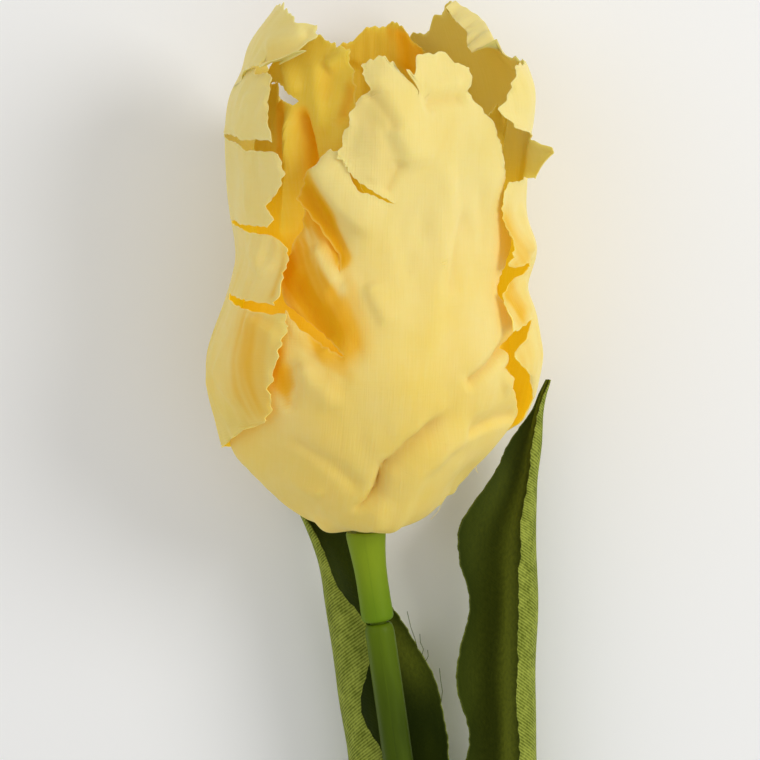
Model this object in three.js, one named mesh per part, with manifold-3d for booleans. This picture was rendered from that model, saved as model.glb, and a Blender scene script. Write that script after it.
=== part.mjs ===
// A fringed tulip with its stem cut, lying on a surface: six slashed cloth petals in two whorls
// round a pistil and six stamens, a moulded socket on a long stem, and two channelled cloth leaves.
//
// The flower is drawn in a frame of its own, with the foot of the bloom at the origin, Y up the
// bloom and Z to the front. Azimuths go round the bloom in degrees, from the front towards +X.
// The whole group is then laid down on its back, so that the bloom and the stem's end rest at Z = 0.

import * as THREE from 'three';
import { mergeVertices } from 'three/addons/utils/BufferGeometryUtils.js';
import Module from 'manifold-3d';

const wasm = await Module();
wasm.setup();

// Real sizes in millimetres, angles in degrees.
const bladeThickness = 0.6;
const gap = 0.3;
const footHeight = 22.6;
const bloomLean = 1.9;
const stemLength = 315;
const stemRadius = 2.35;
const socketLength = 15.2;
const pegRadius = 1.6;
const pegTop = 5.5;
const boreRadius = 1.65;
const boreDepth = 9;
const centreX = -2.3;
const centreY = 114.4;

const degrees = Math.PI / 180;
// The bloom rests on its back and the stem on its cut end, which sets the slope of the stem.
const layTilt = Math.asin((footHeight - stemRadius) / stemLength) / degrees;
const clamp = (value, low, high) => Math.min(high, Math.max(low, value));
const smooth = (t) => clamp(t, 0, 1) ** 2 * (3 - 2 * clamp(t, 0, 1));
const mix = (a, b, t) => a + (b - a) * t;

// A table's rows are [position, value, value, ...]. Between two rows the values follow a cubic
// whose slope at each row is that of the line joining its neighbours.
function along(table, position) {
  const last = table.length - 1;
  const t = clamp(position, table[0][0], table[last][0]);
  let k = 0;
  while (k < last - 1 && t > table[k + 1][0]) k += 1;
  const [a, b] = [table[k], table[k + 1]];
  const [before, after] = [table[Math.max(k - 1, 0)], table[Math.min(k + 2, last)]];
  const span = b[0] - a[0];
  const x = (t - a[0]) / span;
  return a.slice(1).map((_, i) => {
    const [p, q] = [a[i + 1], b[i + 1]];
    const slopeP = ((q - before[i + 1]) / (b[0] - before[0])) * span;
    const slopeQ = ((after[i + 1] - p) / (after[0] - a[0])) * span;
    return (2 * x ** 3 - 3 * x ** 2 + 1) * p + (x ** 3 - 2 * x ** 2 + x) * slopeP
      + (3 * x ** 2 - 2 * x ** 3) * q + (x ** 3 - x ** 2) * slopeQ;
  });
}

// The bloom's outer form, as [radius, height] from its foot to its mouth.
const bloomProfile = [
  [2.1, 0], [6, 0.3], [10.5, 1.7], [15.6, 6], [20.8, 12], [23.8, 17.5], [26.4, 27], [24.7, 37],
  [23, 45], [23.2, 55], [23.8, 65], [22.6, 72], [20.1, 79], [16.6, 86],
];
const meridian = [];
for (const [radius, height] of bloomProfile) {
  const previous = meridian.at(-1) ?? [0, radius, height];
  const step = Math.hypot(radius - previous[1], height - previous[2]);
  meridian.push([previous[0] + step, radius, height]);
}
const travelAtHeight = meridian.map(([travel, , height]) => [height, travel]);

// A point of the bloom: so far up its profile, and so far outside it, along the profile's normal.
function onBloom(azimuth, travel, out) {
  const [radius, height] = along(meridian, travel);
  const [radiusA, heightA] = along(meridian, Math.max(travel - 1, 0));
  const [radiusB, heightB] = along(meridian, Math.max(travel - 1, 0) + 2);
  const slope = Math.hypot(radiusB - radiusA, heightB - heightA);
  const r = radius + (out * (heightB - heightA)) / slope;
  const h = height - (out * (radiusB - radiusA)) / slope;
  const turn = azimuth * degrees;
  return new THREE.Vector3(h * Math.tan(bloomLean * degrees) + r * Math.sin(turn), h, r * Math.cos(turn));
}

// Lifts a point that would lie lower than the stated height above the surface.
function keepAbove(point, height) {
  const lowest = (height - footHeight - point.y * Math.sin(layTilt * degrees)) / Math.cos(layTilt * degrees);
  point.z = Math.max(point.z, lowest);
  return point;
}

// Each petal has, by height up the bloom, the azimuths of its two margins and how far it lies
// inside the bloom's outer form, and by place across it, from -1 to 1, the height of its rim.
// A side cut runs from a margin to its tip: the height and place of the tip, the rise from the tip
// to the margin, and how far out the cloth stands below and above the cut. A flap is the cloth
// between two side cuts, named by the heights of their tips: how far out it folds and how many
// degrees back, with the share of that fold at its two cuts. A rim cut has its place and depth, and
// how far out the cloth stands to its left and right. Pleats are low waves across the petal.
const petals = {
  petal_outer_front: {
    margins: [
      [0, -58, 60], [1.7, -70, 72], [6, -84, 84], [12, -92, 91], [17, -84, 86], [22, -60, 70],
      [27, -46, 57], [32, -41, 62], [37, -39, 64], [42, -39, 57], [48, -38, 65], [56, -31, 60],
      [62, -21, 56], [67, -16, 49], [72, -14, 42], [77, -12, 37],
    ],
    inset: [[0, 0], [4, 0.2], [9, 1], [14, 1.5], [22, 1.3], [40, 1.2], [60, 1.2], [80, 1.6]],
    rim: [
      [-1, 74.6], [-0.6, 76.6], [-0.3, 75.6], [-0.1, 74.6], [0.15, 76.8], [0.5, 77.2], [0.8, 75.6],
      [1, 73.4],
    ],
    sideCuts: [
      { side: -1, height: 30.2, place: -0.46, rise: 7.5, below: -0.4, above: -0.9 },
      { side: -1, height: 43.5, place: -0.4, rise: 11, below: -0.7, above: 0.7 },
      { side: -1, height: 55, place: -0.15, rise: 8, below: 1, above: 0.3 },
    ],
    flaps: [],
    rimCuts: [{ place: -0.13, depth: 8, left: -0.5, right: 0.7 }],
    pleats: { count: 9, height: 0.45 },
  },
  petal_outer_left: {
    margins: [
      [0, -174, -72], [1.7, -173, -76], [6, -169, -89.5], [12, -165, -94], [14.5, -163, -84],
      [17, -163, -64], [20, -163, -46], [25, -163, -38], [31, -163, -33], [36, -163, -30],
      [41, -162, -40], [46, -161, -38], [51, -160, -45], [58, -157, -38], [64, -152, -41],
      [68, -136, -44], [72, -126, -46], [76, -122, -44], [81, -116, -36], [86, -108, -38],
    ],
    inset: [[0, 0], [14, -0.1], [30, -0.3], [60, -0.2], [80, -0.2]],
    rim: [[-1, 77], [-0.6, 81], [-0.2, 83.5], [0.15, 85.2], [0.45, 84], [0.7, 82.6], [1, 81.6]],
    sideCuts: [
      { side: 1, height: 38.4, place: 0.4, rise: -1.6, below: 0.2, above: 0.9 },
      { side: 1, height: 50.4, place: 0.36, rise: 0, below: 0.2, above: 1.0 },
      { side: 1, height: 63.8, place: 0.28, rise: 0, below: 0.2, above: 0.8 },
      { side: 1, height: 74, place: 0.36, rise: 5.5, below: 0.2, above: 0.9 },
    ],
    flaps: [],
    rimCuts: [],
    pleats: { count: 7, height: 0.25 },
  },
  petal_outer_right: {
    margins: [
      [0, 74, 176], [1.7, 78, 178], [6, 89.5, 183], [12, 95.5, 186], [16, 92, 188], [20, 85, 190],
      [24, 74, 190], [30, 62, 190], [36, 62, 190], [40, 58, 190], [46, 67, 190], [52, 65, 189],
      [57, 58, 188], [62, 60, 185], [68, 64, 181], [74, 66, 175], [79, 72, 171], [86, 92, 168],
    ],
    inset: [[0, 0], [14, -0.1], [30, -0.4], [60, -0.4], [80, 0]],
    rim: [[-1, 78.5], [-0.5, 80.5], [0, 83], [0.25, 85], [0.5, 83.6], [0.75, 81], [1, 78]],
    sideCuts: [
      { side: -1, height: 35, place: -0.7, rise: -2.5, below: 0.2, above: 0.9 },
      { side: -1, height: 44, place: -0.74, rise: -1, below: 0.2, above: 0.9 },
      { side: -1, height: 57.4, place: -0.66, rise: 0, below: 0.2, above: 0.2 },
      { side: -1, height: 64.5, place: -0.68, rise: 0, below: 0.2, above: 0.9 },
    ],
    flaps: [{ side: -1, low: 57.4, high: 64.5, out: 5.4, back: 8, ends: [0.6, 0.45] }],
    rimCuts: [{ place: 0.62, depth: 7, left: -0.5, right: 0.6 }],
    pleats: { count: 7, height: 0.25 },
  },
  petal_inner_left: {
    margins: [
      [0, -96, -34], [6, -100, -16], [20, -104, -8], [36, -98, -6], [46, -72, -6], [54, -52, -7],
      [62, -45, -9], [68, -44, -10], [73, -50, -12], [77, -58, -15], [80, -52, -18],
    ],
    inset: [[0, 2], [12, 2.4], [30, 4.4], [50, 4.6], [80, 3.6]],
    rim: [[-1, 76], [-0.5, 78.8], [0, 79.8], [0.5, 79], [1, 77]],
    sideCuts: [],
    flaps: [],
    rimCuts: [{ place: 0.1, depth: 6, left: -0.4, right: 0.5 }],
    pleats: { count: 10, height: 0.5 },
  },
  petal_inner_right: {
    margins: [
      [0, 34, 96], [6, 26, 108], [20, 22, 114], [50, 24, 112], [60, 30, 104], [69, 44, 92],
    ],
    inset: [[0, 2], [12, 2.4], [30, 4.2], [50, 4.2], [70, 3.4]],
    rim: [[-1, 63], [-0.5, 66], [0, 68], [0.5, 66.5], [1, 63]],
    sideCuts: [],
    flaps: [],
    rimCuts: [{ place: 0.2, depth: 6, left: -0.5, right: 0.4 }],
    pleats: { count: 10, height: 0.4 },
  },
  petal_inner_back: {
    margins: [
      [0, 140, 222], [6, 134, 236], [20, 130, 240], [50, 132, 236], [60, 138, 229], [66, 144, 220],
      [70, 150, 210], [75, 156, 205], [82, 163, 198],
    ],
    inset: [[0, 2], [12, 2.4], [30, 3.6], [50, 4.2], [80, 3.4]],
    rim: [[-1, 78], [-0.5, 81], [0, 79.8], [0.5, 81.6], [1, 77.6]],
    sideCuts: [],
    flaps: [],
    rimCuts: [{ place: -0.1, depth: 7, left: -0.4, right: 0.5 }],
    pleats: { count: 8, height: 0.35 },
  },
};
const petalColumns = 16;
const petalRowStep = 4.6;
const cutWidth = 0.9;
const toothDepth = 1.1;
// Margins are toothed above this height, and pleats are full above the next.
const toothedAbove = 8;
const pleatedAbove = 30;
// Rows follow the shape of the rim only near it: by this power of their share of the way up.
const rimPower = 6;
// A rim cut spreads the cloth this far to each side, as a share of half the petal.
const rimCutReach = 0.5;

// Full at one place, and nought one reach away from it.
const beside = (from, at, reach) => clamp(1 - Math.abs(at - from) / reach, 0, 1);

// A closed sheet of cloth on a grid of columns and rows. corner(i, j, above, right) gives the
// middle surface; a corner on a cut has two copies, told apart by the last two arguments. Both
// faces have the same triangles, and walls close the sheet along every free edge.
function clothSheet(columns, rows, thickness, isSplit, corner) {
  const [middle, ids, quads] = [[], new Map(), []];
  const idOf = (i, j, above, right) => {
    const split = isSplit(i, j);
    const key = `${i},${j},${split === 'row' && above},${split === 'column' && right}`;
    if (!ids.has(key)) {
      ids.set(key, middle.length);
      middle.push(corner(i, j, above, right));
    }
    return ids.get(key);
  };
  for (let j = 0; j < rows; j += 1) {
    for (let i = 0; i < columns; i += 1) {
      quads.push([
        idOf(i, j, true, true), idOf(i + 1, j, true, false),
        idOf(i + 1, j + 1, false, false), idOf(i, j + 1, false, true),
      ]);
    }
  }
  const faces = quads.flatMap(([a, b, c, d]) => [[a, b, c], [a, c, d]]);
  const normals = middle.map(() => new THREE.Vector3());
  for (const face of faces) {
    const [a, b, c] = face.map((id) => middle[id]);
    const normal = b.clone().sub(a).cross(c.clone().sub(a));
    face.forEach((id) => normals[id].add(normal));
  }
  const positions = [];
  for (const side of [0.5, -0.5]) {
    middle.forEach((point, id) => {
      positions.push(...point.clone().addScaledVector(normals[id].normalize(), side * thickness));
    });
  }
  const back = middle.length;
  const free = new Map();
  for (const [a, b, c] of faces) {
    for (const [p, q] of [[a, b], [b, c], [c, a]]) {
      if (!free.delete(`${q},${p}`)) free.set(`${p},${q}`, [p, q]);
    }
  }
  const index = faces.flatMap(([a, b, c]) => [a, b, c, back + a, back + c, back + b]);
  for (const [p, q] of free.values()) index.push(q, p, back + p, q, back + p, back + q);
  const geometry = new THREE.BufferGeometry();
  geometry.setAttribute('position', new THREE.Float32BufferAttribute(positions, 3));
  geometry.setIndex(index);
  return geometry;
}

const travelOf = (height) => along(travelAtHeight, height)[0];
const columnOf = (place) => Math.round(((place + 1) / 2) * petalColumns);
const placeOf = (column) => (2 * column) / petalColumns - 1;

// A petal's rows, as shares of its way up, with one on each side cut, and its cuts on that grid.
function petalGrid(petal) {
  const topTravel = travelOf(Math.max(...petal.rim.map(([, height]) => height)));
  const marks = [0, ...petal.sideCuts.map(({ height }) => travelOf(height) / topTravel), 1];
  const levels = [0];
  for (let k = 1; k < marks.length; k += 1) {
    const steps = Math.max(1, Math.round(((marks[k] - marks[k - 1]) * topTravel) / petalRowStep));
    for (let n = 1; n <= steps; n += 1) levels.push(mix(marks[k - 1], marks[k], n / steps));
  }
  const rowOf = (level) => levels.findIndex((value) => value >= level - 1e-9);

  const sideCuts = petal.sideCuts.map((cut, k) => {
    const level = marks[k + 1];
    const tip = placeOf(columnOf(cut.place)) * cut.side;
    const reach = Math.min(level - marks[k], marks[k + 2] - level);
    const towardMargin = (u) => clamp((u * cut.side - tip) / (1 - tip), 0, 1);
    return { ...cut, level, row: rowOf(level), tip, reach, towardMargin };
  });
  const cutAt = (height) => sideCuts.find((cut) => cut.height === height);
  const flaps = petal.flaps.map((flap) => ({ ...flap, lower: cutAt(flap.low), upper: cutAt(flap.high) }));
  const rimCuts = petal.rimCuts.map((cut) => {
    const column = columnOf(cut.place);
    const row = rowOf(1 - cut.depth / topTravel);
    return { ...cut, column, place: placeOf(column), row, level: levels[row] };
  });
  return { topTravel, levels, sideCuts, flaps, rimCuts };
}

function petalGeometry(petal) {
  const { topTravel, levels, sideCuts, flaps, rimCuts } = petalGrid(petal);
  const rows = levels.length - 1;

  const isSplit = (i, j) => {
    const u = placeOf(i);
    if (sideCuts.some((cut) => cut.row === j && u * cut.side > cut.tip + 1e-9)) return 'row';
    if (rimCuts.some((cut) => cut.column === i && j > cut.row)) return 'column';
    return 'none';
  };

  const corner = (i, j, above, right) => {
    const u = placeOf(i);
    let level = levels[j];
    let out = 0;
    let turn = 0;
    let part = 0;
    for (const cut of sideCuts) {
      const isAbove = j === cut.row ? above : j > cut.row;
      const near = beside(cut.level, levels[j], cut.reach);
      const opening = smooth(cut.towardMargin(u)) * near;
      out += opening * (isAbove ? cut.above : cut.below);
      level += (cut.towardMargin(u) * near * cut.rise) / topTravel;
      level += (opening * (isAbove ? 0.5 : -0.5) * cutWidth) / topTravel;
    }
    for (const cut of rimCuts) {
      const isRight = i === cut.column ? right : i > cut.column;
      const up = clamp((levels[j] - cut.level) / (1 - cut.level), 0, 1);
      out += smooth(up) * beside(cut.place, u, rimCutReach) * (isRight ? cut.right : cut.left);
      if (i === cut.column) part += (right ? 0.5 : -0.5) * cutWidth * up;
    }
    for (const { side, lower, upper, out: foldOut, back, ends } of flaps) {
      const aboveLower = j > lower.row || (j === lower.row && above);
      const belowUpper = j < upper.row || (j === upper.row && !above);
      if (aboveLower && belowUpper) {
        const t = Math.min(lower.towardMargin(u), upper.towardMargin(u));
        const up = (2 * (levels[j] - lower.level)) / (upper.level - lower.level) - 1;
        out += foldOut * smooth(2 * t - 1) * mix(1, up < 0 ? ends[0] : ends[1], Math.abs(up));
        turn -= side * back * t;
      }
    }
    const tooth = (i + j) % 2 ? toothDepth : 0;
    const [rimHeight] = along(petal.rim, u);
    const drop = (topTravel - travelOf(rimHeight)) * level ** rimPower;
    const travel = level * topTravel - drop - (j === rows ? tooth : 0);
    const [radius, height] = along(meridian, travel);
    const [from, to] = along(petal.margins, height);
    const isToothed = (i === 0 || i === petalColumns) && height > toothedAbove;
    const trim = isToothed ? Math.sign(u) * tooth : 0;
    const azimuth = mix(from, to, (u + 1) / 2) + turn + (part - trim) / radius / degrees;
    const fade = smooth(height / pleatedAbove) * smooth((1 - Math.abs(u)) * 4);
    out += petal.pleats.height * fade * Math.cos(petal.pleats.count * (azimuth - (from + to) / 2) * degrees);
    out -= along(petal.inset, height)[0];
    return keepAbove(onBloom(azimuth, travel, out), bladeThickness / 2 + Math.max(0, -out));
  };
  return clothSheet(petalColumns, rows, bladeThickness, isSplit, corner);
}

// The stem's axis, by the way down it, bends to the right below the bloom and comes gently back.
// Above the foot it follows the bloom's lean.
const stemBend = 0.165;
const bendStart = 3;
const bendBack = 380;
function stemX(y) {
  if (y > 0) return y * Math.tan(bloomLean * degrees);
  return ((stemBend * y ** 2) / (bendStart - y)) * (1 + y / bendBack);
}

// Turns a profile of [radius, height] round the stem's axis and bends it along that axis.
function turnedOnStem(profile, sides) {
  const lathe = new THREE.LatheGeometry(profile.map((point) => new THREE.Vector2(...point)), sides);
  const position = lathe.attributes.position;
  for (let i = 0; i < position.count; i += 1) {
    const [x, y, z] = [position.getX(i), position.getY(i), position.getZ(i)];
    const slope = stemX(y + 0.5) - stemX(y - 0.5);
    const length = Math.hypot(1, slope);
    position.setXYZ(i, stemX(y) + x / length, y - (x * slope) / length, z);
  }
  return closed(lathe);
}

// Merges a geometry's shared corners and drops the triangles that this makes empty.
function closed(geometry) {
  geometry.deleteAttribute('normal');
  geometry.deleteAttribute('uv');
  const merged = mergeVertices(geometry, 1e-4);
  const corners = [...merged.index.array];
  const kept = [];
  for (let i = 0; i < corners.length; i += 3) {
    const [a, b, c] = corners.slice(i, i + 3);
    if (a !== b && b !== c && c !== a) kept.push(a, b, c);
  }
  merged.setIndex(kept);
  return merged;
}

// A peg up through the petals, a collar under them and a waisted barrel with a blind bore below.
const socketSides = 16;
function socketGeometry() {
  const lip = -socketLength;
  const seat = -2 * gap;
  return turnedOnStem([
    [0, lip + boreDepth], [boreRadius, lip + boreDepth], [boreRadius, lip],
    [2.15, lip], [2.45, lip + 0.3], [2.6, lip + 0.9], [2.55, -11], [2.6, -7], [2.85, -4], [3.15, -1.6],
    [3.2, seat - 0.1], [pegRadius, seat], [pegRadius, pegTop - 0.4], [pegRadius - 0.4, pegTop], [0, pegTop],
  ], socketSides);
}

// A long rod with a rounded shoulder and a plug that stands in the socket's bore.
const stemSides = 12;
const stemSteps = 34;
function stemGeometry() {
  const shoulder = -socketLength - gap;
  const plug = boreRadius - gap;
  const plugTop = shoulder + boreDepth - gap;
  const profile = [[0, -stemLength]];
  for (let n = 0; n < stemSteps; n += 1) {
    profile.push([stemRadius, mix(-stemLength, shoulder - 1.6, n / (stemSteps - 1))]);
  }
  profile.push(
    [2.1, shoulder - 0.5], [1.75, shoulder], [plug, shoulder],
    [plug, plugTop - 0.3], [plug - 0.3, plugTop], [0, plugTop],
  );
  return turnedOnStem(profile, stemSides);
}

// A leaf runs from its base to its tip at heights on the flower's own Y. Its sections, by share of
// that way, give the midrib's x and z and the roll of the whole section, then for the left and the
// right half the width, the first slope and the further turn up to the margin. On one side of it
// the margin waves in and out along the curl.
const leaves = {
  leaf_left: {
    base: -196,
    tip: 6,
    sections: [
      [0, 13.9, -2.7, -30, 6.6, 0, 122, 6.6, 0, 122],
      [0.12, 12, -6, -22, 10.5, 5, 90, 8.5, 2, 60],
      [0.3, 8.4, -10.4, -10, 15, 8, 95, 8.5, 4, 26],
      [0.5, 5.4, -13.2, -4, 17.5, 6, 125, 10.5, 8, 26],
      [0.7, 3.4, -14, 0, 17, 4, 160, 12, 14, 26],
      [0.78, 2.3, -14.4, 0, 16.6, 0, 176, 12.4, 10, 24],
      [0.83, 0.9, -14.8, 0, 16.2, 0, 176, 11.6, 8, 24],
      [0.876, -0.4, -15.2, 0, 15.8, 0, 176, 7.9, 8, 22],
      [0.908, -2, -15.7, 0, 14.4, 0, 172, 4.4, 8, 20],
      [0.936, -4.4, -16.3, 0, 10.2, 0, 160, 2.4, 6, 16],
      [0.96, -7.1, -17, 0, 6, 0, 140, 1.4, 4, 12],
      [1, -11.6, -18.6, 0, 0.7, 0, 20, 0.7, 0, 10],
    ],
    waves: { side: -1, height: 1.6, pitch: 22, start: -19 },
  },
  leaf_right: {
    base: -172,
    tip: 22.2,
    sections: [
      [0, 17.8, -1.6, 60, 6.6, 0, 122, 6.6, 0, 122],
      [0.12, 19.8, -4, 45, 8, 10, 70, 10, 4, 100],
      [0.3, 23.6, -8, 15, 9, 25, 25, 13.5, 6, 118],
      [0.5, 24, -12, 6, 9, 25, 22, 14, 4, 135],
      [0.7, 22.9, -13.6, 0, 8.4, 20, 24, 13.2, 0, 158],
      [0.82, 23, -14.4, 0, 8.4, 20, 22, 13, 0, 160],
      [0.87, 23.5, -14.6, 0, 8.4, 18, 20, 11.5, 0, 158],
      [0.9, 24.8, -14.8, 0, 8, 16, 18, 8.4, 0, 150],
      [0.92, 25.8, -15, 0, 6.6, 14, 16, 6, 0, 140],
      [0.94, 26.9, -15.1, 0, 4.6, 10, 14, 3.6, 0, 120],
      [0.955, 27.6, -15.2, 0, 2.2, 8, 12, 1.8, 0, 90],
      [0.97, 28.3, -15.3, 0, 0.7, 4, 10, 0.7, 0, 40],
      [1, 30.1, -15.5, 0, 0.5, 0, 10, 0.5, 0, 10],
    ],
    waves: { side: -1, height: 1.5, pitch: 22.3, start: -3.3 },
  },
};
const leafColumns = 12;
const leafRows = 36;
// The waves grow in and die out over these shares of the leaf, from its base and to its tip.
const waveRise = 1 / 3;
const waveFall = 1 / 9;

// One half of a leaf's section: how far across and how far up it has come at a share of its width.
function leafHalf(width, slope, turn, share) {
  const [start, end] = [slope * degrees, (slope + turn * share) * degrees];
  const radius = width / (turn * degrees);
  return [radius * (Math.sin(end) - Math.sin(start)), radius * (Math.cos(start) - Math.cos(end))];
}

function leafGeometry({ base, tip, sections, waves }) {
  const corner = (i, j) => {
    const u = (2 * i) / leafColumns - 1;
    const v = j / leafRows;
    const y = mix(base, tip, v);
    const [x, z, roll, ...halves] = along(sections, v);
    const [width, slope, turn] = u < 0 ? halves.slice(0, 3) : halves.slice(3);
    const fade = smooth(v / waveRise) * smooth((1 - v) / waveFall);
    const wave = Math.sign(u) === waves.side ? Math.cos((2 * Math.PI * (y - waves.start)) / waves.pitch) : 0;
    const reach = Math.abs(u) * (1 + (waves.height * fade * wave) / width);
    const [across, up] = leafHalf(width, slope, turn, reach);
    const a = Math.sign(u) * across;
    const [cos, sin] = [Math.cos(roll * degrees), Math.sin(roll * degrees)];
    const point = new THREE.Vector3(x + a * cos - up * sin, y, z + a * sin + up * cos);
    return keepAbove(point, bladeThickness / 2);
  };
  return clothSheet(leafColumns, leafRows, bladeThickness, () => 'none', corner);
}

// A geometry as a solid that can be joined, and back again.
function solidOf(geometry) {
  const shape = closed(geometry);
  return new wasm.Manifold(new wasm.Mesh({
    numProp: 3,
    vertProperties: new Float32Array(shape.attributes.position.array),
    triVerts: new Uint32Array(shape.index.array),
  }));
}

function geometryOf(solid) {
  const { vertProperties, triVerts } = solid.getMesh();
  const geometry = new THREE.BufferGeometry();
  geometry.setAttribute('position', new THREE.BufferAttribute(vertProperties, 3));
  geometry.setIndex(new THREE.BufferAttribute(triVerts, 1));
  return geometry;
}

// A swelling column on the socket's peg, with a stigma of three lobes.
const pistilHeight = 21;
const pistilSides = 12;
const stigmaLobe = { radius: 1.5, out: 1.2, drop: 0.9, flatten: [1, 0.7, 0.75], turn: 0.2 };
function pistilGeometry() {
  const foot = pegTop + gap;
  const column = new THREE.LatheGeometry([
    [0, 0], [1.7, 0], [2.3, 2], [2.5, 8], [2.2, 14], [1.5, 18.5],
    [1.1, pistilHeight - 1], [0, pistilHeight - 0.6],
  ].map((point) => new THREE.Vector2(...point)), pistilSides);
  let solid = solidOf(column);
  for (let k = 0; k < 3; k += 1) {
    const lobe = new THREE.SphereGeometry(stigmaLobe.radius, 8, 6);
    lobe.scale(...stigmaLobe.flatten);
    lobe.translate(stigmaLobe.out, pistilHeight - stigmaLobe.drop, 0);
    lobe.rotateY((k * 2 * Math.PI) / 3 + stigmaLobe.turn);
    solid = solid.add(solidOf(lobe));
  }
  return geometryOf(solid).translate(stemX(foot), foot, 0);
}

// A ring round the socket's peg, under the pistil, with six filaments that lean out, each with a
// long anther.
const stamenRing = { inner: pegRadius + gap, outer: 3.6, low: 4, high: 5.2, sides: 18 };
const stamen = { count: 6, length: 10, foot: 0.55, top: 0.4, stand: 3, sink: 0.4, lean: 0.2 };
const antherSize = { radius: 0.85, length: 6.5, rise: 2.5 };
function stamensGeometry() {
  const { inner, outer, low, high, sides } = stamenRing;
  const ring = new THREE.LatheGeometry([
    [inner, low], [outer, low], [outer, high], [inner, high], [inner, low],
  ].map((point) => new THREE.Vector2(...point)), sides);
  let solid = solidOf(ring);
  for (let k = 0; k < stamen.count; k += 1) {
    const filament = new THREE.CylinderGeometry(stamen.top, stamen.foot, stamen.length, 6);
    filament.translate(0, stamen.length / 2, 0);
    const anther = new THREE.CapsuleGeometry(antherSize.radius, antherSize.length, 3, 8);
    anther.translate(0, stamen.length + antherSize.rise, 0);
    const whole = geometryOf(solidOf(filament).add(solidOf(anther)));
    whole.rotateZ(-stamen.lean);
    whole.translate(stamen.stand, high - stamen.sink, 0);
    whole.rotateY(((k + 0.5) * 2 * Math.PI) / stamen.count);
    solid = solid.add(solidOf(whole));
  }
  return geometryOf(solid).translate(stemX((low + high) / 2), 0, 0);
}

const finish = (color, roughness) => new THREE.MeshStandardMaterial({ color, roughness, metalness: 0 });
const outerCloth = finish(0xedd98a, 0.8);
const innerCloth = finish(0xdcab33, 0.8);
const leafCloth = finish(0x4a5a1c, 0.75);
const stemPlastic = finish(0x6f8a28, 0.5);
const heartPlastic = finish(0xb9b04a, 0.6);

const flower = new THREE.Group();
function place(name, geometry, material) {
  const mesh = new THREE.Mesh(geometry, material.clone());
  mesh.name = name;
  flower.add(mesh);
}
for (const [name, petal] of Object.entries(petals)) {
  place(name, petalGeometry(petal), name.includes('outer') ? outerCloth : innerCloth);
}
for (const [name, leaf] of Object.entries(leaves)) place(name, leafGeometry(leaf), leafCloth);
place('stem_socket', socketGeometry(), stemPlastic);
place('stem', stemGeometry(), stemPlastic);
place('pistil', pistilGeometry(), heartPlastic);
place('stamens', stamensGeometry(), heartPlastic);

flower.rotation.x = layTilt * degrees;
flower.position.set(centreX, centreY, footHeight);

const tulip = new THREE.Group();
tulip.add(flower);
export default tulip;
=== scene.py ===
"""The looks of a cloth tulip with fringed, slashed petals, laid down with its stem cut."""

import math

import bpy
import numpy as np
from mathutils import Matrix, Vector


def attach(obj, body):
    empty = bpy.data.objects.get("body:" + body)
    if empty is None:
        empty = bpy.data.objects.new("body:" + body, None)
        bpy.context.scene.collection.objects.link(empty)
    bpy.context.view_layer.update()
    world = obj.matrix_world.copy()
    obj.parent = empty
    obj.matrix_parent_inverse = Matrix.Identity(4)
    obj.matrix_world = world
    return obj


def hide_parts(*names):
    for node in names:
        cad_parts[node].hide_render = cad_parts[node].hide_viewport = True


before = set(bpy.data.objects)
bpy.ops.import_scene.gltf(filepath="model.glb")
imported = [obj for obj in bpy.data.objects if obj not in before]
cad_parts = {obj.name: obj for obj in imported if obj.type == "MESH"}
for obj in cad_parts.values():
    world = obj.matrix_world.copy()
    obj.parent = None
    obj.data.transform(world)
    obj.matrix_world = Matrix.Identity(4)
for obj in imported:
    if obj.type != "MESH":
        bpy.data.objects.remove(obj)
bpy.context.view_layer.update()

# Real sizes in millimetres and angles in degrees. The flower is drawn in a frame of its own, with
# the foot of the bloom at the origin, Y up the bloom and Z to the front, and then laid down.
# Azimuths go round the bloom from the front towards +X.
METRES = 0.001
DEGREES = math.pi / 180
CLOTH = 0.32
THREAD_RADIUS = 0.065
SHARP_TURN = 55
# A cloth piece's map has its outer face on the left, its inner face on the right, a thin strip for
# its walls round the outer face, and one corner for its stray threads. A slit is open by this
# share of a cell to each side.
MAP_SIZE = (0.44, 0.92)
OUTER_MAP = (0.03, 0.04)
INNER_MAP = (0.53, 0.04)
WALL_MAP = 0.0012
THREAD_MAP = ((0.975, 0.005), (0.985, 0.005), (0.975, 0.015))
SLIT_MAP = 0.3
FOOT_HEIGHT = 22.6
BLOOM_LEAN = 1.9
STEM_LENGTH = 315
STEM_RADIUS = 2.35
SOCKET_LENGTH = 15.2
PEG_TOP = 5.5
GAP = 0.3
CENTRE = (-2.3, 114.4)
LAY_TILT = math.asin((FOOT_HEIGHT - STEM_RADIUS) / STEM_LENGTH)


def smooth(t):
    t = np.clip(t, 0, 1)
    return t * t * (3 - 2 * t)


def mix(a, b, t):
    return a + (b - a) * t


def beside(place, at, reach):
    """Full at one place, and nought one reach away from it."""
    return np.clip(1 - np.abs(place - at) / reach, 0, 1)


def along(table, position):
    """The values of a table's rows [position, value, value, ...], on a cubic between two rows."""
    rows = np.array(table, float)
    at, values = rows[:, 0], rows[:, 1:]
    t = np.clip(np.asarray(position, float), at[0], at[-1])
    k = np.clip(np.searchsorted(at, t, side="right") - 1, 0, len(at) - 2)
    before = np.maximum(k - 1, 0)
    after = np.minimum(k + 2, len(at) - 1)
    span = at[k + 1] - at[k]
    x = (t - at[k]) / span
    p, q = values[k], values[k + 1]
    slope_p = (q - values[before]) * (span / (at[k + 1] - at[before]))[..., None]
    slope_q = (values[after] - p) * (span / (at[after] - at[k]))[..., None]
    x = x[..., None]
    found = (2 * x**3 - 3 * x**2 + 1) * p + (x**3 - 2 * x**2 + x) * slope_p
    found = found + (3 * x**2 - 2 * x**3) * q + (x**3 - x**2) * slope_q
    return np.moveaxis(found, -1, 0)


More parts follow.
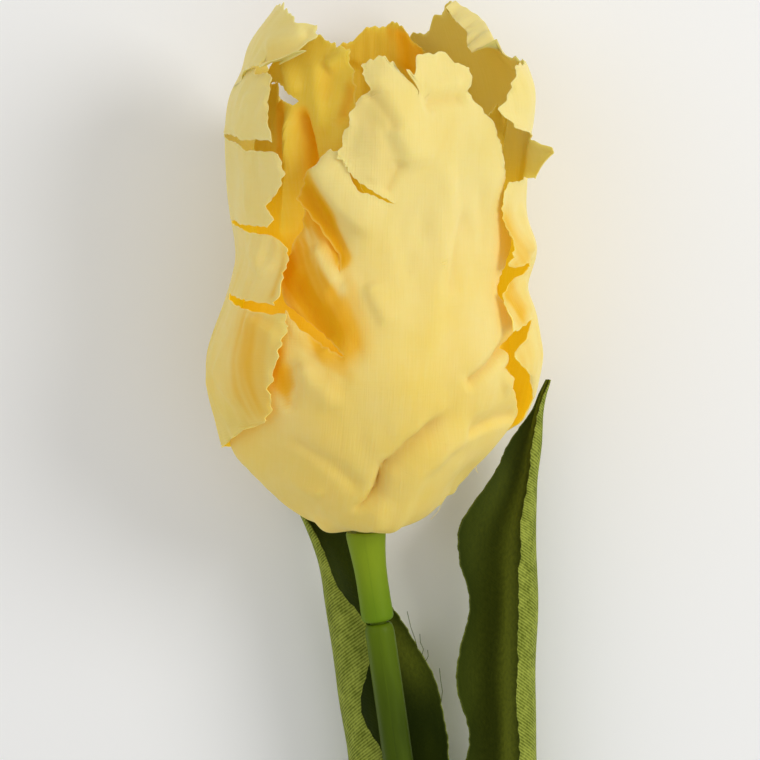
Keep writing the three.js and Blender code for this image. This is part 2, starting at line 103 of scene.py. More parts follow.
def straight(table, position):
    """The one value of a table's rows [position, value], on straight lines between rows."""
    rows = np.array(table, float)
    return np.interp(position, rows[:, 0], rows[:, 1])


def nearest(values, wanted):
    """The index of the value nearest to the wanted one."""
    return int(np.argmin(np.abs(values - wanted)))


def turned(a, b, angle):
    """Two coordinates after a turn from the first towards the second, in radians."""
    cos, sin = np.cos(angle), np.sin(angle)
    return a * cos - b * sin, a * sin + b * cos


def unit(vectors):
    return vectors / np.maximum(np.linalg.norm(vectors, axis=1, keepdims=True), 1e-12)


class Ripples:
    """Soft waves in two directions, made of sines with drawn lengths, directions and starts."""

    def __init__(self, rng, count, shortest, longest, spread):
        self.length = rng.uniform(shortest, longest, count)
        self.turn = rng.normal(0, spread, count) * DEGREES
        self.start = rng.uniform(0, 2 * math.pi, count)
        self.count = count

    def at(self, across, up):
        total = 0
        for length, turn, start in zip(self.length, self.turn, self.start):
            way = across * math.cos(turn) + up * math.sin(turn)
            total = total + np.sin(2 * math.pi * way / length + start)
        return total / math.sqrt(self.count)


def ragged(rng, pitch, position):
    """An uneven zigzag from -1 to 1 with corners about one pitch apart."""
    span = float(np.max(position)) - float(np.min(position)) + 4 * pitch
    count = int(span / pitch) + 2
    corners = np.cumsum(rng.uniform(0.45, 1.55, count)) * pitch + float(np.min(position)) - 2 * pitch
    heights = rng.uniform(0.25, 1, count) * np.where(np.arange(count) % 2, 1, -1)
    return np.interp(position, corners, heights)


# The bloom's outer form, as [radius, height] from its foot to its mouth.
BLOOM_PROFILE = [
    (2.1, 0), (6, 0.3), (10.5, 1.7), (15.6, 6), (20.8, 12), (23.8, 17.5), (26.4, 27), (24.7, 37),
    (23, 45), (23.2, 55), (23.8, 65), (22.6, 72), (20.1, 79), (16.6, 86), (13.4, 92),
]
_steps = np.hypot(*np.diff(np.array(BLOOM_PROFILE), axis=0).T)
_travels = np.concatenate([[0], np.cumsum(_steps)])
MERIDIAN = [(travel, *point) for travel, point in zip(_travels, BLOOM_PROFILE)]
TRAVEL_AT_HEIGHT = [(height, travel) for travel, _, height in MERIDIAN]
# The bloom's normal is taken from the profile so far below and above a point.
NORMAL_STEP = 1


def travel_of(height):
    return along(TRAVEL_AT_HEIGHT, height)[0]


def on_bloom(azimuth, travel, out):
    """Points of the bloom: so far up its profile, and so far outside it along the normal."""
    radius, height = along(MERIDIAN, travel)
    below = np.maximum(travel - NORMAL_STEP, 0)
    radius_a, height_a = along(MERIDIAN, below)
    radius_b, height_b = along(MERIDIAN, below + 2 * NORMAL_STEP)
    slope = np.hypot(radius_b - radius_a, height_b - height_a)
    r = radius + out * (height_b - height_a) / slope
    h = height - out * (radius_b - radius_a) / slope
    turn = azimuth * DEGREES
    lean = math.tan(BLOOM_LEAN * DEGREES)
    return np.stack([h * lean + r * np.sin(turn), h, r * np.cos(turn)], -1)


def keep_above(points, height):
    """Lifts the points that would lie lower than the stated height above the floor."""
    lowest = (height - FOOT_HEIGHT - points[:, 1] * math.sin(LAY_TILT)) / math.cos(LAY_TILT)
    points[:, 2] = np.maximum(points[:, 2], lowest)
    return points


def laid_down(points):
    """The flower's own frame, in millimetres, to the place where it lies, in metres."""
    x, y, z = points.T
    y, z = turned(y, z, LAY_TILT)
    return np.stack([x + CENTRE[0], y + CENTRE[1], z + FOOT_HEIGHT], -1) * METRES


def add_object(name, data):
    made = bpy.data.objects.new(name, data)
    bpy.context.scene.collection.objects.link(made)
    return made


def build_mesh(name, points, faces, notes, maps=None):
    """A smooth mesh piece with sharp turns kept. Notes are vectors that its finish reads."""
    mesh = bpy.data.meshes.new(name)
    mesh.vertices.add(len(points))
    mesh.vertices.foreach_set("co", np.asarray(points, np.float32).ravel())
    mesh.loops.add(len(faces) * 3)
    mesh.loops.foreach_set("vertex_index", np.asarray(faces, np.int32).ravel())
    mesh.polygons.add(len(faces))
    mesh.polygons.foreach_set("loop_start", np.arange(0, len(faces) * 3, 3, dtype=np.int32))
    for note, values in notes.items():
        held = mesh.attributes.new(note, "FLOAT_VECTOR", "POINT")
        held.data.foreach_set("vector", np.asarray(values, np.float32).ravel())
    if maps is not None:
        layer = mesh.uv_layers.new(name="OFBake")
        layer.data.foreach_set("uv", np.asarray(maps, np.float32).ravel())
    mesh.update(calc_edges=True)
    mesh.validate()
    mesh.shade_smooth()
    mesh.set_sharp_from_angle(angle=SHARP_TURN * DEGREES)
    return add_object(name, mesh)


class Grid:
    """The corners of a sheet's grid of columns and rows. A corner on a slit has two copies: the
    first lies above or to the right of the slit, and the second below or to the left of it."""

    def __init__(self, columns, rows, row_slit, column_slit):
        self.columns, self.rows = columns, rows
        j, i = np.mgrid[0:rows + 1, 0:columns + 1]
        slit = row_slit | column_slit
        count = j.size
        self.first = np.arange(count).reshape(j.shape)
        self.second = self.first.copy()
        self.second[slit] = count + np.arange(slit.sum())
        self.i = np.concatenate([i.ravel(), i[slit]])
        self.j = np.concatenate([j.ravel(), j[slit]])
        self.is_first = np.arange(len(self.i)) < count
        self.on_row = np.concatenate([row_slit.ravel(), row_slit[slit]])
        self.on_column = np.concatenate([column_slit.ravel(), column_slit[slit]]) & ~self.on_row
        lower_right = np.where(row_slit, self.first, self.second)
        upper_left = np.where(row_slit, self.second, self.first)
        a = self.first[:-1, :-1]
        b = lower_right[:-1, 1:]
        c = self.second[1:, 1:]
        d = upper_left[1:, :-1]
        lower = np.stack([a, b, c], -1).reshape(-1, 3)
        upper = np.stack([a, c, d], -1).reshape(-1, 3)
        self.faces = np.concatenate([lower, upper])

    def map_places(self):
        """A place for each corner from 0 to 1 both ways, with the slits a little open."""
        shift = np.where(self.is_first, SLIT_MAP, -SLIT_MAP)
        across = (self.i + np.where(self.on_column, shift, 0)) / self.columns
        up = (self.j + np.where(self.on_row, shift, 0)) / self.rows
        return np.stack([across, up], -1)


def thread_tubes(points, across, up, threads):
    """Stray threads as closed three-sided tubes. Each starts at the corner of the cloth nearest
    to its place, and its further points are measured from there in millimetres."""
    sides = THREAD_RADIUS * np.array([(1, 0, 0), (-0.5, 0, 0.87), (-0.5, 0, -0.87)])
    tubes = []
    for at, height, further in threads:
        start = points[np.argmin((across - at) ** 2 + (up - height) ** 2)]
        path = start + np.array([(0, 0, 0), *further])
        path = path[np.argsort(path[:, 1])]
        corners = (path[:, None] + sides).reshape(-1, 3)
        last = len(corners) - 3
        faces = [(0, 1, 2), (last, last + 2, last + 1)]
        for k in range(0, last, 3):
            for p, q in ((0, 1), (1, 2), (2, 0)):
                faces += [(k + p, k + p + 3, k + q), (k + q, k + p + 3, k + q + 3)]
        tubes.append((corners, np.array(faces)))
    return tubes


def cloth_sheet(name, grid, middle, thickness, notes, tubes):
    """A closed sheet round a middle surface. Both faces have the same triangles, and walls close
    it along every free edge. Its notes get a third value: 1 on the outer face and 0 on the inner.
    The tubes of its stray threads are joined to it and share one corner of its map."""
    faces = grid.faces
    a, b, c = (middle[faces[:, k]] for k in range(3))
    cross = np.cross(b - a, c - a)
    normals = np.zeros_like(middle)
    for k in range(3):
        np.add.at(normals, faces[:, k], cross)
    half = unit(normals) * thickness[:, None] / 2
    points = np.concatenate([middle + half, middle - half])
    back = len(middle)
    edges = np.concatenate([faces[:, [0, 1]], faces[:, [1, 2]], faces[:, [2, 0]]])
    key = edges[:, 0] * back + edges[:, 1]
    reverse = edges[:, 1] * back + edges[:, 0]
    free = edges[~np.isin(key, reverse)]
    p, q = free.T
    walls = np.concatenate([
        np.stack([q, p, back + p], -1), np.stack([q, back + p, back + q], -1),
    ])
    all_faces = np.concatenate([faces, back + faces[:, ::-1], walls])

    places = grid.map_places()
    front = places * MAP_SIZE + OUTER_MAP
    rear = places * MAP_SIZE + INNER_MAP
    across = front[q] - front[p]
    outward = unit(np.stack([across[:, 1], -across[:, 0]], -1)) * WALL_MAP
    wall_maps = np.concatenate([
        np.stack([front[q], front[p], front[p] + outward], 1),
        np.stack([front[q], front[p] + outward, front[q] + outward], 1),
    ])
    maps = np.concatenate([front[faces], rear[faces[:, ::-1]], wall_maps])
    doubled = {}
    for note, (first, second) in notes.items():
        face = np.concatenate([np.ones(back), np.zeros(back)])
        doubled[note] = np.stack([np.tile(first, 2), np.tile(second, 2), face], -1)
    for corners, tube_faces in tubes:
        all_faces = np.concatenate([all_faces, tube_faces + len(points)])
        points = np.concatenate([points, corners])
        maps = np.concatenate([maps, np.tile(THREAD_MAP, (len(tube_faces), 1, 1))])
        for note, values in doubled.items():
            doubled[note] = np.concatenate([values, np.tile((0, 0, 1), (len(corners), 1))])
    return build_mesh(name, laid_down(points), all_faces, doubled, maps)


# Each petal has its middle azimuth, the seed of its random draws, the count of its pleats in a
# whole turn and their height and, by height up the bloom, the azimuths of its two margins and how
# far it lies inside the bloom's outer form. The rim is its height by place across the petal, from
# -1 to 1. A swell is an azimuth, a height, its reach in degrees and millimetres, and how far it
# pushes the cloth out.
# A cut runs from the margin on its side to its tip. It has the height and place of the tip, the
# rise of its upper edge from the tip to the margin, how far out the cloth stands below and above
# it, how many degrees the margin comes round below and above it, if it does, and by share of its
# way how far its lower edge lies under the line of the upper one.
# A flap is the cloth on its side between the two cuts of these heights, folded out by millimetres
# and back by degrees. Its peak is a place from -1 at the lower cut to 1 at the upper, and its ends
# are the shares of its fold at the two cuts. A turned rim is a strip of the rim between two places
# that is folded over to the inside, with its width at both. A rim cut runs down from the rim by its
# depth: the cloth left and right of it stands out so far, and it opens by its width and leans by
# degrees.
# A fold is the height of its ridge, which is negative for a valley, the widths of its two sides
# and its line of (azimuth, height) points. A tint line is a warmth of amber, which stands partly for
# the cloth's dyeing and partly for painted shade and painted light soaked through the cloth, and is
# negative for painted shade, its width and such a line. A stray thread starts at an azimuth and a
# height, and its further points are measured from there in millimetres.
PETALS = {
    "petal_outer_front": {
        "centre": 8, "seed": 11, "pleats": (9, 0.2),
        "margins": [
            (0, -62, 60), (1.7, -82, 78), (6, -100, 97), (12, -105, 102), (14.5, -102, 100),
            (17, -90, 92), (19.5, -74, 80), (22, -60, 70), (27, -46, 57), (30, -42, 58), (33, -39, 65),
            (36.5, -38.5, 61), (39.5, -42, 56.5), (42.5, -44.5, 64), (45.2, -40, 75), (48, -36, 70),
            (50, -33.5, 64), (53.6, -32, 62), (56, -31.5, 60.5), (58, -28, 59.4), (59, -24.8, 58.6),
            (60.3, -21.8, 57.4), (61.2, -19.4, 56.4), (64, -13, 53.5), (67, -12, 46), (69.4, -9.6, 40),
            (70.5, -4.4, 39.6), (73.6, -7.4, 41), (77, -9, 39),
        ],
        "inset": [(0, 0), (4, 0.2), (9, 1), (14, 1.5), (22, 1.3), (40, 1.2), (60, 1.2), (80, 1.6)],
        "rim": [
            (-1, 75), (-0.75, 76.2), (-0.5, 75.7), (-0.3, 74.9), (-0.14, 74.2), (0, 73.7), (0.1, 73.6),
            (0.17, 75.6), (0.3, 76.3), (0.5, 76.3), (0.62, 76.7), (0.7, 75.3), (0.8, 74.8), (0.93, 75),
            (1, 73.8),
        ],
        "swells": [(-18, 57, 9, 4, 0.5), (-46, 0.8, 12, 0.9, 1.3)],
        "cuts": [
            {"side": -1, "height": 30, "place": -0.34, "rise": 8, "below": 0.3, "above": -1.6,
             "round_below": 3, "round_above": 2,
             "opening": [(0, 0), (0.12, 0.5), (0.4, 1.3), (0.75, 1.7), (1, 1.2)]},
            {"side": -1, "height": 42.7, "place": -0.42, "rise": 11, "below": -1.4, "above": 0.5,
             "opening": [(0, 0), (0.12, 0.3), (0.3, -0.4), (1, -0.6)]},
            {"side": -1, "height": 53.4, "place": -0.17, "rise": 7.6, "below": -0.2, "above": 0.3,
             "round_above": 6,
             "opening": [(0, 0), (0.1, 0.4), (0.28, 0.3), (0.31, 0.9), (0.36, 1), (0.4, 0.1), (0.6, -1),
                         (0.8, -1.5), (1, -0.9)]},
        ],
        "rim_cuts": [{"place": -0.04, "depth": 5, "left": -0.5, "right": 0.7, "width": 1.1, "lean": -7}],
        "folds": [
            (1.5, (1.8, 3.2), [(-5.5, 75), (-0.8, 70.4), (6, 65.7), (11.5, 61.6), (13.8, 57.4)]),
            (-0.8, (1, 1.2), [(-6.5, 71.6), (-0.8, 69.2), (4, 66.3), (7.2, 63.8)]),
            (1, (3, 1.6), [(29.5, 64), (29.2, 56.5), (29.2, 50.4), (25.8, 41.5), (22.8, 34), (19, 27)]),
            (-0.7, (1.2, 2), [(37.8, 52.6), (34.8, 45.1), (30.2, 38.4)]),
            (0.8, (2.6, 2.6), [(51, 60.9), (55.5, 53.1), (56, 45.4), (49.8, 41.1)]),
            (-1.7, (1.6, 0.9), [(66, 32.6), (50.8, 29.1), (42.5, 26.5), (36, 24)]),
            (0.9, (2.6, 2), [(74, 28), (64, 26.2), (56, 23)]),
            (-1.2, (2.4, 0.9), [(86, 18.6), (62.8, 18.1), (51.8, 17.4), (40.2, 16.2)]),
            (-1.9, (1.2, 2.1), [(36, 22), (24.8, 18.1), (17, 15.4), (12.8, 13.2), (8.4, 11), (6.6, 7.7),
             (0, 4.8)]),
            (1.8, (5, 2.2), [(48.2, 18.1), (33, 14.9), (24, 11), (20.8, 7.4), (19.8, 3), (19.5, 0.4)]),
            (-1.1, (0.8, 0.5), [(8, 13.5), (6.5, 9.9), (4.5, 7.5), (-0.5, 5.7), (-9, 4.2)]),
            (0.8, (1, 1.3), [(11, 12.5), (9.5, 8.3), (7.2, 5.1), (6.8, 1.6)]),
            (0.5, (3, 3), [(4, 50), (7, 40.2), (10, 32)]),
            (0.7, (1, 1.8), [(-2.5, 41.5), (1.5, 37.9), (6, 34.6)]),
            (1.9, (1.9, 5), [(-23.5, 61), (-22.8, 57.8), (-19.2, 55.4), (-14.2, 53), (-7.2, 50.6),
             (4, 48.6)]),
            (-1.1, (1.8, 1.6), [(-29.5, 57), (-25.2, 53.5), (-20.8, 50.5), (-16.2, 47.5), (-11, 43.6)]),
            (1, (1.6, 1.5), [(-26.5, 46.9), (-20, 43.4), (-13.6, 40.4)]),
            (-1.3, (1.8, 2.4), [(-36.5, 42.6), (-28.8, 38.7), (-21.8, 34.8), (-15.6, 31)]),
            (-1.1, (2, 1.4), [(-30, 30), (-28.5, 26), (-29, 23), (-33, 20)]),
            (0.7, (2, 1.6), [(-26, 29), (-18.5, 25.1), (-11.6, 21)]),
            (-0.6, (1, 1.5), [(-36, 17), (-27.5, 14.2), (-17.2, 11.8), (-8.8, 9.1), (-2, 7)]),
            (0.5, (1.8, 1.4), [(-46, 10), (-34, 7.6), (-24, 6.8)]),
            (-0.6, (0.7, 1.1), [(3, 54.4), (6.2, 56.9), (10, 59.8)]),
            (-1, (1.1, 1.5), [(16, 68.3), (26.5, 69.2), (38, 69.5)]),
            (0.5, (1.4, 1.6), [(17, 71), (27, 71.4), (37, 71.5)]),
            (0.5, (2.4, 1.4), [(-2, 66), (0, 60), (-3, 56)]),
        ],
        "tint_lines": [
            (1.1, 2, [(-32, 57.4), (-27, 54), (-22.4, 51)]),
            (1.1, 1.2, [(-24, 52), (-21.4, 50.4), (-16.8, 47.4), (-13, 44.8)]),
            (1.4, 2.1, [(-40, 43), (-29.6, 39), (-21.4, 36), (-16.6, 33.6)]),
            (0.62, 4.2, [(-33, 49), (-26, 43), (-19, 37.5), (-13, 33.5)]),
            (-0.38, 1.1, [(-30, 48.4), (-26.5, 46.6), (-19.6, 43.6), (-12.5, 40.4)]),
            (0.2, 4, [(-13, 40), (-11, 36), (-7, 32)]),
            (0.15, 3.4, [(-26, 31), (-18, 29.5), (-11, 27)]),
            # Painted shadow cast by the left petal's margin, deep gold with painted light soaked
            # through.
            (0.7, 1.9, [(-36, 30), (-34, 27.2), (-33, 25.2)]),
            (0.4, 1.1, [(-34, 27), (-32.5, 24.2), (-32.2, 21.6)]),
            (0.1, 5, [(-50, 15), (-28, 12), (-12, 10)]),
            (0.08, 3, [(30, 64), (26, 61)]),
            # Painted shade on the upper left lobe and low on the left side.
            (-0.22, 4, [(-10, 70), (-3, 64), (3, 58)]),
            (-0.15, 6, [(-40, 14), (-20, 11)]),
        ],
        "threads": [
            (86, 3, [(-0.4, -0.9, 0.3), (-0.9, -1.6, 0.3), (-1.8, -2.6, 0.2)]),
            (97, 9, [(0.3, -0.5, 0), (0.2, -0.9, 0.1), (0.6, -1.4, 0.1)]),
        ],
    },
    "petal_outer_left": {
        "centre": -100, "seed": 23, "pleats": (7, 0.18),
        "margins": [
            (0, -174, -62), (1.7, -173, -75), (4, -171, -87), (6, -169, -94), (10, -166, -100),
            (12, -165, -106), (12.8, -165, -104), (14, -164, -84), (15.2, -163, -70), (17.6, -163, -52),
            (19.1, -163, -42), (21, -163, -36.2), (22.6, -163, -34.8), (24.1, -163, -35.5),
            (25, -163, -36), (26, -163, -35.5), (27.3, -163, -34.6), (28.8, -163, -33.4),
            (30, -163, -31.6), (33, -163, -31.8), (35.6, -163, -33.4), (37.6, -163, -34),
            (38.6, -163, -31.8), (39.9, -163, -33.5), (41.2, -163, -33.4), (43.8, -162, -33.5),
            (46.2, -161, -35.8), (48.3, -161, -43.5), (49.6, -161, -42.5), (50.9, -160, -41),
            (52.4, -160, -44.5), (54.3, -159, -39.8), (58.2, -157, -36.2), (61.6, -154, -40),
            (64.6, -151, -41.2), (67.5, -138, -45), (70, -130, -49.2), (73, -125, -50), (76, -121, -37),
            (81, -115, -27), (86, -108, -30),
        ],
        "inset": [
            (0, 0.4), (3, 1.5), (6, 1.9), (10, 2), (12, 1), (13.4, 0), (30, -0.3), (60, -0.2),
            (80, -0.2),
        ],
        "rim": [
            (-1, 77), (-0.6, 81), (-0.2, 83), (0.05, 83.6), (0.2, 83.6), (0.3, 82.7), (0.42, 82.3),
            (0.55, 82), (0.63, 81.2), (0.7, 79.9), (0.8, 80.2), (0.92, 80.4), (1, 79.4),
        ],
        "swells": [
            (-100, 84.5, 30, 4.6, -2.4), (-95, 73, 30, 3, -0.8), (-47, 71, 10, 4, -0.6),
            (-95, 41.5, 40, 7, -1.9), (-95, 32, 40, 6, -0.9),
        ],
        "cuts": [
            {"side": 1, "height": 38.4, "place": 0.34, "rise": -1, "below": 0.4, "above": 1,
             "round_below": 2, "round_above": -3,
             "opening": [(0, 0), (0.08, 0.6), (0.2, 0.9), (0.5, 1.5), (0.85, 1.7), (1, 1.2)]},
            {"side": 1, "height": 49.6, "place": 0.16, "rise": 0, "below": 0.3, "above": 1.1,
             "opening": [(0, 0), (0.15, 0.5), (0.4, 0.9), (0.65, 1.1), (1, 1.4)]},
            {"side": 1, "height": 63.2, "place": 0.1, "rise": 0.4, "below": 0.3, "above": 1,
             "opening": [(0, 0), (0.15, 0.5), (0.4, 1.2), (0.65, 1.7), (1, 2)]},
            {"side": 1, "height": 70.2, "place": 0.1, "rise": 8.8, "below": -0.3, "above": 1.5,
             "round_above": 9, "opening": [(0, 0), (0.25, 0), (0.55, 0.1), (1, 4)]},
        ],
        "folds": [
            (0.6, (0.8, 2.4), [(-70, 27), (-62, 24.5), (-52, 20.8)]),
            (0.6, (2, 1), [(-52, 35.4), (-42, 33.8), (-32, 32.2)]),
            (0.9, (1, 1.6), [(-58, 76.5), (-44, 77.6), (-34, 79)]),
            (0.4, (2, 1.4), [(-60, 70), (-57, 66)]),
            (0.4, (1.4, 2), [(-62, 59), (-55, 55), (-54, 51)]),
            (0.5, (1.2, 2), [(-60, 46), (-50, 44), (-45, 41)]),
            (0.45, (1.2, 2), [(-58, 18), (-70, 21), (-80, 26)]),
        ],
        "tint_lines": [
            (0.3, 4.6, [(-45, 34), (-44, 28), (-42, 22)]),
            (0.16, 4.4, [(-56, 33), (-52, 25)]),
            (0.25, 1.4, [(-40, 48), (-37, 43), (-38, 39)]),
            (0.25, 1.2, [(-47, 70), (-44, 66)]),
        ],
    },
    "petal_outer_right": {
        "centre": 122, "seed": 37, "pleats": (7, 0.2),
        "margins": [
            (0, 60, 176), (1.7, 74, 178), (4, 84, 181), (6, 91, 183), (11, 97, 185), (13.6, 103, 187),
            (15, 100, 188), (17.6, 89, 189), (20, 87, 190), (22.6, 79, 190), (26, 66, 190),
            (28, 59, 190), (30, 58, 190), (32.5, 53.5, 190), (35.6, 55, 190), (37.9, 53.5, 190),
            (39.4, 56, 190), (41.2, 64, 190), (41.9, 61, 190), (42.6, 57, 190), (43.8, 58, 190),
            (46, 59.5, 190), (47.2, 59, 190), (48.6, 57.5, 190), (50, 55.5, 190), (51.9, 55.5, 189),
            (55, 57, 188), (57.5, 62, 187), (62, 60, 185), (65, 56, 184), (66.8, 50.5, 183),
            (68.4, 52.5, 181), (70, 56.5, 179), (71.6, 58.5, 178), (73.6, 63.5, 176), (76, 68, 173),
            (79, 72, 171), (86, 92, 168),
        ],
        "inset": [
            (0, 0.4), (3, 1.5), (6, 1.9), (11, 2.1), (13.6, 1), (15.6, 0), (30, -0.4), (60, -0.4),
            (80, 0),
        ],
        "rim": [
            (-1, 73.4), (-0.85, 73.8), (-0.7, 74.2), (-0.5, 75.2), (-0.38, 76.4), (-0.34, 81.6),
            (-0.2, 82.6), (0, 84.3), (0.15, 85.4), (0.26, 85.8), (0.32, 84.4), (0.44, 83), (0.55, 81.8),
            (0.68, 81), (0.73, 78.8), (0.84, 78.4), (1, 76),
        ],
        "swells": [
            (72, 69.5, 24, 5.5, 1.7), (112, 78, 18, 5.5, -2.2), (88, 66, 20, 5, -0.7),
            (92, 44.8, 40, 4.4, 2.2), (92, 38.5, 40, 2.5, -0.8),
        ],
        "cuts": [
            {"side": -1, "height": 34.4, "place": -0.7, "rise": -1.8, "below": 0.2, "above": 1.2,
             "opening": [(0, 0), (0.5, 1.6), (1, 3)]},
            {"side": -1, "height": 43.4, "place": -0.7, "rise": -0.9, "below": 0.2, "above": 1.1,
             "opening": [(0, 0), (0.5, 0.7), (1, 1.6)]},
            {"side": -1, "height": 58.2, "place": -0.66, "rise": 0, "below": 0.4, "above": 0.2,
             "opening": [(0, 0), (0.5, 0.4), (1, 0.6)]},
            {"side": -1, "height": 64.9, "place": -0.68, "rise": 3.2, "below": 0.2, "above": 1.2,
             "opening": [(0, 0), (0.5, 1), (1, 4)]},
        ],
        "flaps": [{"side": -1, "low": 58.2, "high": 64.9, "out": 4.6, "back": 9, "peak": 0.7,
                   "ends": (0.45, 0.95)}],
        "turned_rims": [{"low": -0.36, "high": 0.3, "width": (4, 1.8)}],
        "rim_cuts": [{"place": -0.36, "depth": 4.6, "left": 0, "right": 0, "width": 0.1, "lean": 0}],
        "folds": [
            (0.7, (1.4, 2), [(70, 53), (72, 47), (70, 44)]),
            (0.5, (1.4, 1.4), [(66, 40), (72, 37), (68, 35)]),
            (0.5, (1.6, 2), [(78, 30), (74, 24)]),
        ],
        "tint_lines": [
            (0.4, 2.6, [(57, 50), (62, 46), (66, 43.6)]),
            (0.5, 2, [(56, 41), (58, 38), (62, 35.6)]),
            (0.2, 2.4, [(62, 33), (64, 27), (72, 23)]),
            (0.12, 3.4, [(57, 62), (64, 61)]),
        ],
    },
    "petal_inner_left": {
        "centre": -46, "seed": 41, "pleats": (10, 0.3), "inner": True,
        "margins": [
            (0, -96, -34), (6, -100, -16), (20, -104, -8), (36, -100, -6), (50, -97, -6), (60, -86, -8),
            (65, -80, -9), (70, -76, -11), (75, -74, -14), (80, -66, -18),
        ],
        "inset": [(0, 2), (12, 2.4), (30, 4.4), (50, 4.6), (80, 3.6)],
        "rim": [
            (-1, 74.6), (-0.85, 75), (-0.72, 76), (-0.5, 78), (-0.35, 79.3), (0, 79.9), (0.3, 79.6),
            (0.6, 79), (0.8, 78.4), (1, 77),
        ],
        "cuts": [
            {"side": -1, "height": 69.3, "place": 0.12, "rise": 8, "below": -0.4, "above": 0.4,
             "opening": [(0, 0), (0.06, 1.4), (0.25, 1.9), (0.44, 3.4), (0.48, 1.6), (0.52, 0), (1, 0)]},
        ],
        "folds": [
            (2, (1.3, 1.3), [(-43, 69), (-41.5, 62.3), (-42.8, 56), (-45, 49.9), (-45.2, 44)]),
            (-0.8, (1.4, 1.4), [(-51.2, 68.6), (-50, 64), (-51.5, 60)]),
            (-2, (1.6, 0.9), [(-38, 68.4), (-33.8, 62.4), (-30.6, 56)]),
            (1.4, (1, 1.8), [(-27.6, 74.6), (-19.8, 76.5), (-11, 77)]),
            (1.1, (2.2, 1.6), [(-34, 77), (-30, 70), (-25, 63)]),
            (0.9, (1.2, 2), [(-56, 76), (-47, 73), (-41, 70)]),
            (-1.4, (2, 1.4), [(-13, 73), (-13.8, 69.4), (-16, 66)]),
        ],
        "tint_lines": [
            (1, 1.5, [(-51.2, 68.6), (-50, 64), (-51.5, 59)]),
            (1, 1.4, [(-37, 67), (-34.8, 62.4), (-34, 57)]),
            (0.25, 1.8, [(-26.5, 74), (-25.4, 71)]),
            (0.45, 2, [(-12, 72), (-13.8, 69.4), (-16, 66.4)]),
        ],
    },
    "petal_inner_right": {
        "centre": 67, "seed": 53, "pleats": (10, 0.4), "inner": True,
        "margins": [
            (0, 34, 82), (6, 26, 86), (12, 24, 90), (16, 22, 102), (20, 22, 112), (50, 24, 112),
            (60, 30, 104), (69, 44, 92),
        ],
        "inset": [(0, 2), (10, 3.5), (16, 4), (24, 4.4), (50, 4.4), (70, 3.4)],
        "rim": [(-1, 63), (-0.5, 66), (0, 68), (0.5, 66.5), (1, 63)],
        "rim_cuts": [{"place": 0.2, "depth": 6, "left": -0.5, "right": 0.4, "width": 0.9, "lean": 0}],
    },
    "petal_inner_back": {
        "centre": 181, "seed": 61, "pleats": (8, 0.35), "inner": True,
        "margins": [
            (0, 118, 222), (6, 90, 236), (12, 86, 237), (16, 88, 238), (20, 98, 240), (30, 120, 240),
            (50, 132, 236), (60, 138, 229), (66, 144, 220), (70, 150, 210), (75, 156, 205),
            (82, 163, 198),
        ],
        "inset": [(0, 2), (6, 2.8), (16, 3), (30, 3.6), (50, 4.2), (80, 3.4)],
        "rim": [
            (-1, 77), (-0.86, 78.4), (-0.76, 80.4), (-0.66, 81.6), (-0.36, 81.6), (-0.2, 81.4),
            (-0.1, 80.8), (0.1, 80.8), (0.4, 80.8), (0.5, 80.4), (0.62, 79.6), (0.8, 78.8), (1, 77.6),
        ],
        "folds": [
            (1, (2, 3), [(196, 76), (190, 70), (188, 60)]),
            (0.9, (3, 2), [(170, 76), (168, 66), (166, 56)]),
        ],
        "tint_lines": [
            (0.8, 2, [(166, 79), (165, 74)]),
        ],
    },
}
# The whole bloom is drawn in at the right side of its foot, and bulges out at the left side.
BLOOM_SWELLS = [
    (72, 6, 26, 5, -1.8), (-50, 3, 26, 3.4, -1.1), (-84, 11.5, 22, 4, 1.6), (88, 19, 30, 4, 0.8),
]
OUTER_GRID = {"columns": 112, "row_step": 0.42}
INNER_GRID = {"columns": 84, "row_step": 0.6}
# Columns crowd towards the margins: they are this much wider in the middle than on average.
CROWDING = 0.3
# Rows follow the shape of the rim only near it: by this power of their share of the way up.
RIM_POWER = 6
# A rim cut bulges, opens and leans the cloth within so much of its place across the petal.
RIM_CUT_BULGE = 0.5
RIM_CUT_OPENING = 0.25
RIM_CUT_LEAN = 0.7
# The pleats grow up to this height, and fade over this share of a half towards each margin.
PLEATED_ABOVE = 30
PLEAT_ENDS = 1 / 4
# The fringe and the curl of the edges grow up to this height.
FRINGED_ABOVE = 8
# The fringe is three zigzags on each other, each with its pitch and depth.
FRINGE = [(3.4, 0.5), (1.5, 0.42), (0.8, 0.32)]
FRINGE_REACH = 3
CURL_REACH = 1.3
CURL = 0.28
# A margin's curl waves by these angles for each millimetre up and across, and tends outwards.
CURL_WAVES = (0.9, 0.7)
CURL_OUTWARDS = 0.35
# A side cut's opening narrows away from the cut by this power.
CUT_NARROWS = 1.5
# Cut edges are frayed by a zigzag of this pitch and depth, within so much of the cut, and in full
# after this share of its way. The pitch is measured as if the petal's half were so wide.
FRAY_PITCH = 1.1
FRAY_DEPTH = 0.2
FRAY_REACH = 1.6
FRAY_START = 1 / 8
FRAYED_HALF = 22
# Ripples have a count, the shortest and longest wave and the spread of their directions. Broad
# and fine wrinkles also have a height, and how fast they change up the cloth. The fine ones come in
# patches, and all are weaker at the bloom's foot.
BROAD_WRINKLES = (5, 7, 16, 30)
BROAD_HEIGHT = 0.24
BROAD_RISE = 0.55
FINE_WRINKLES = (7, 2.2, 5, 35)
FINE_HEIGHT = 0.09
FINE_RISE = 0.5
WRINKLED_PATCHES = (4, 18, 34, 80)
WRINKLED_ABOVE = 20
WRINKLED_FOOT = 0.45
# A rim that is folded in lies this far inside the petal, and gets there within so much. From
# there it goes back down and inwards, by so much for each millimetre of its width.
TURN_DEPTH = 0.7
TURN_REACH = 0.5
TURN_BACK = 1.02
TURN_IN = 0.95
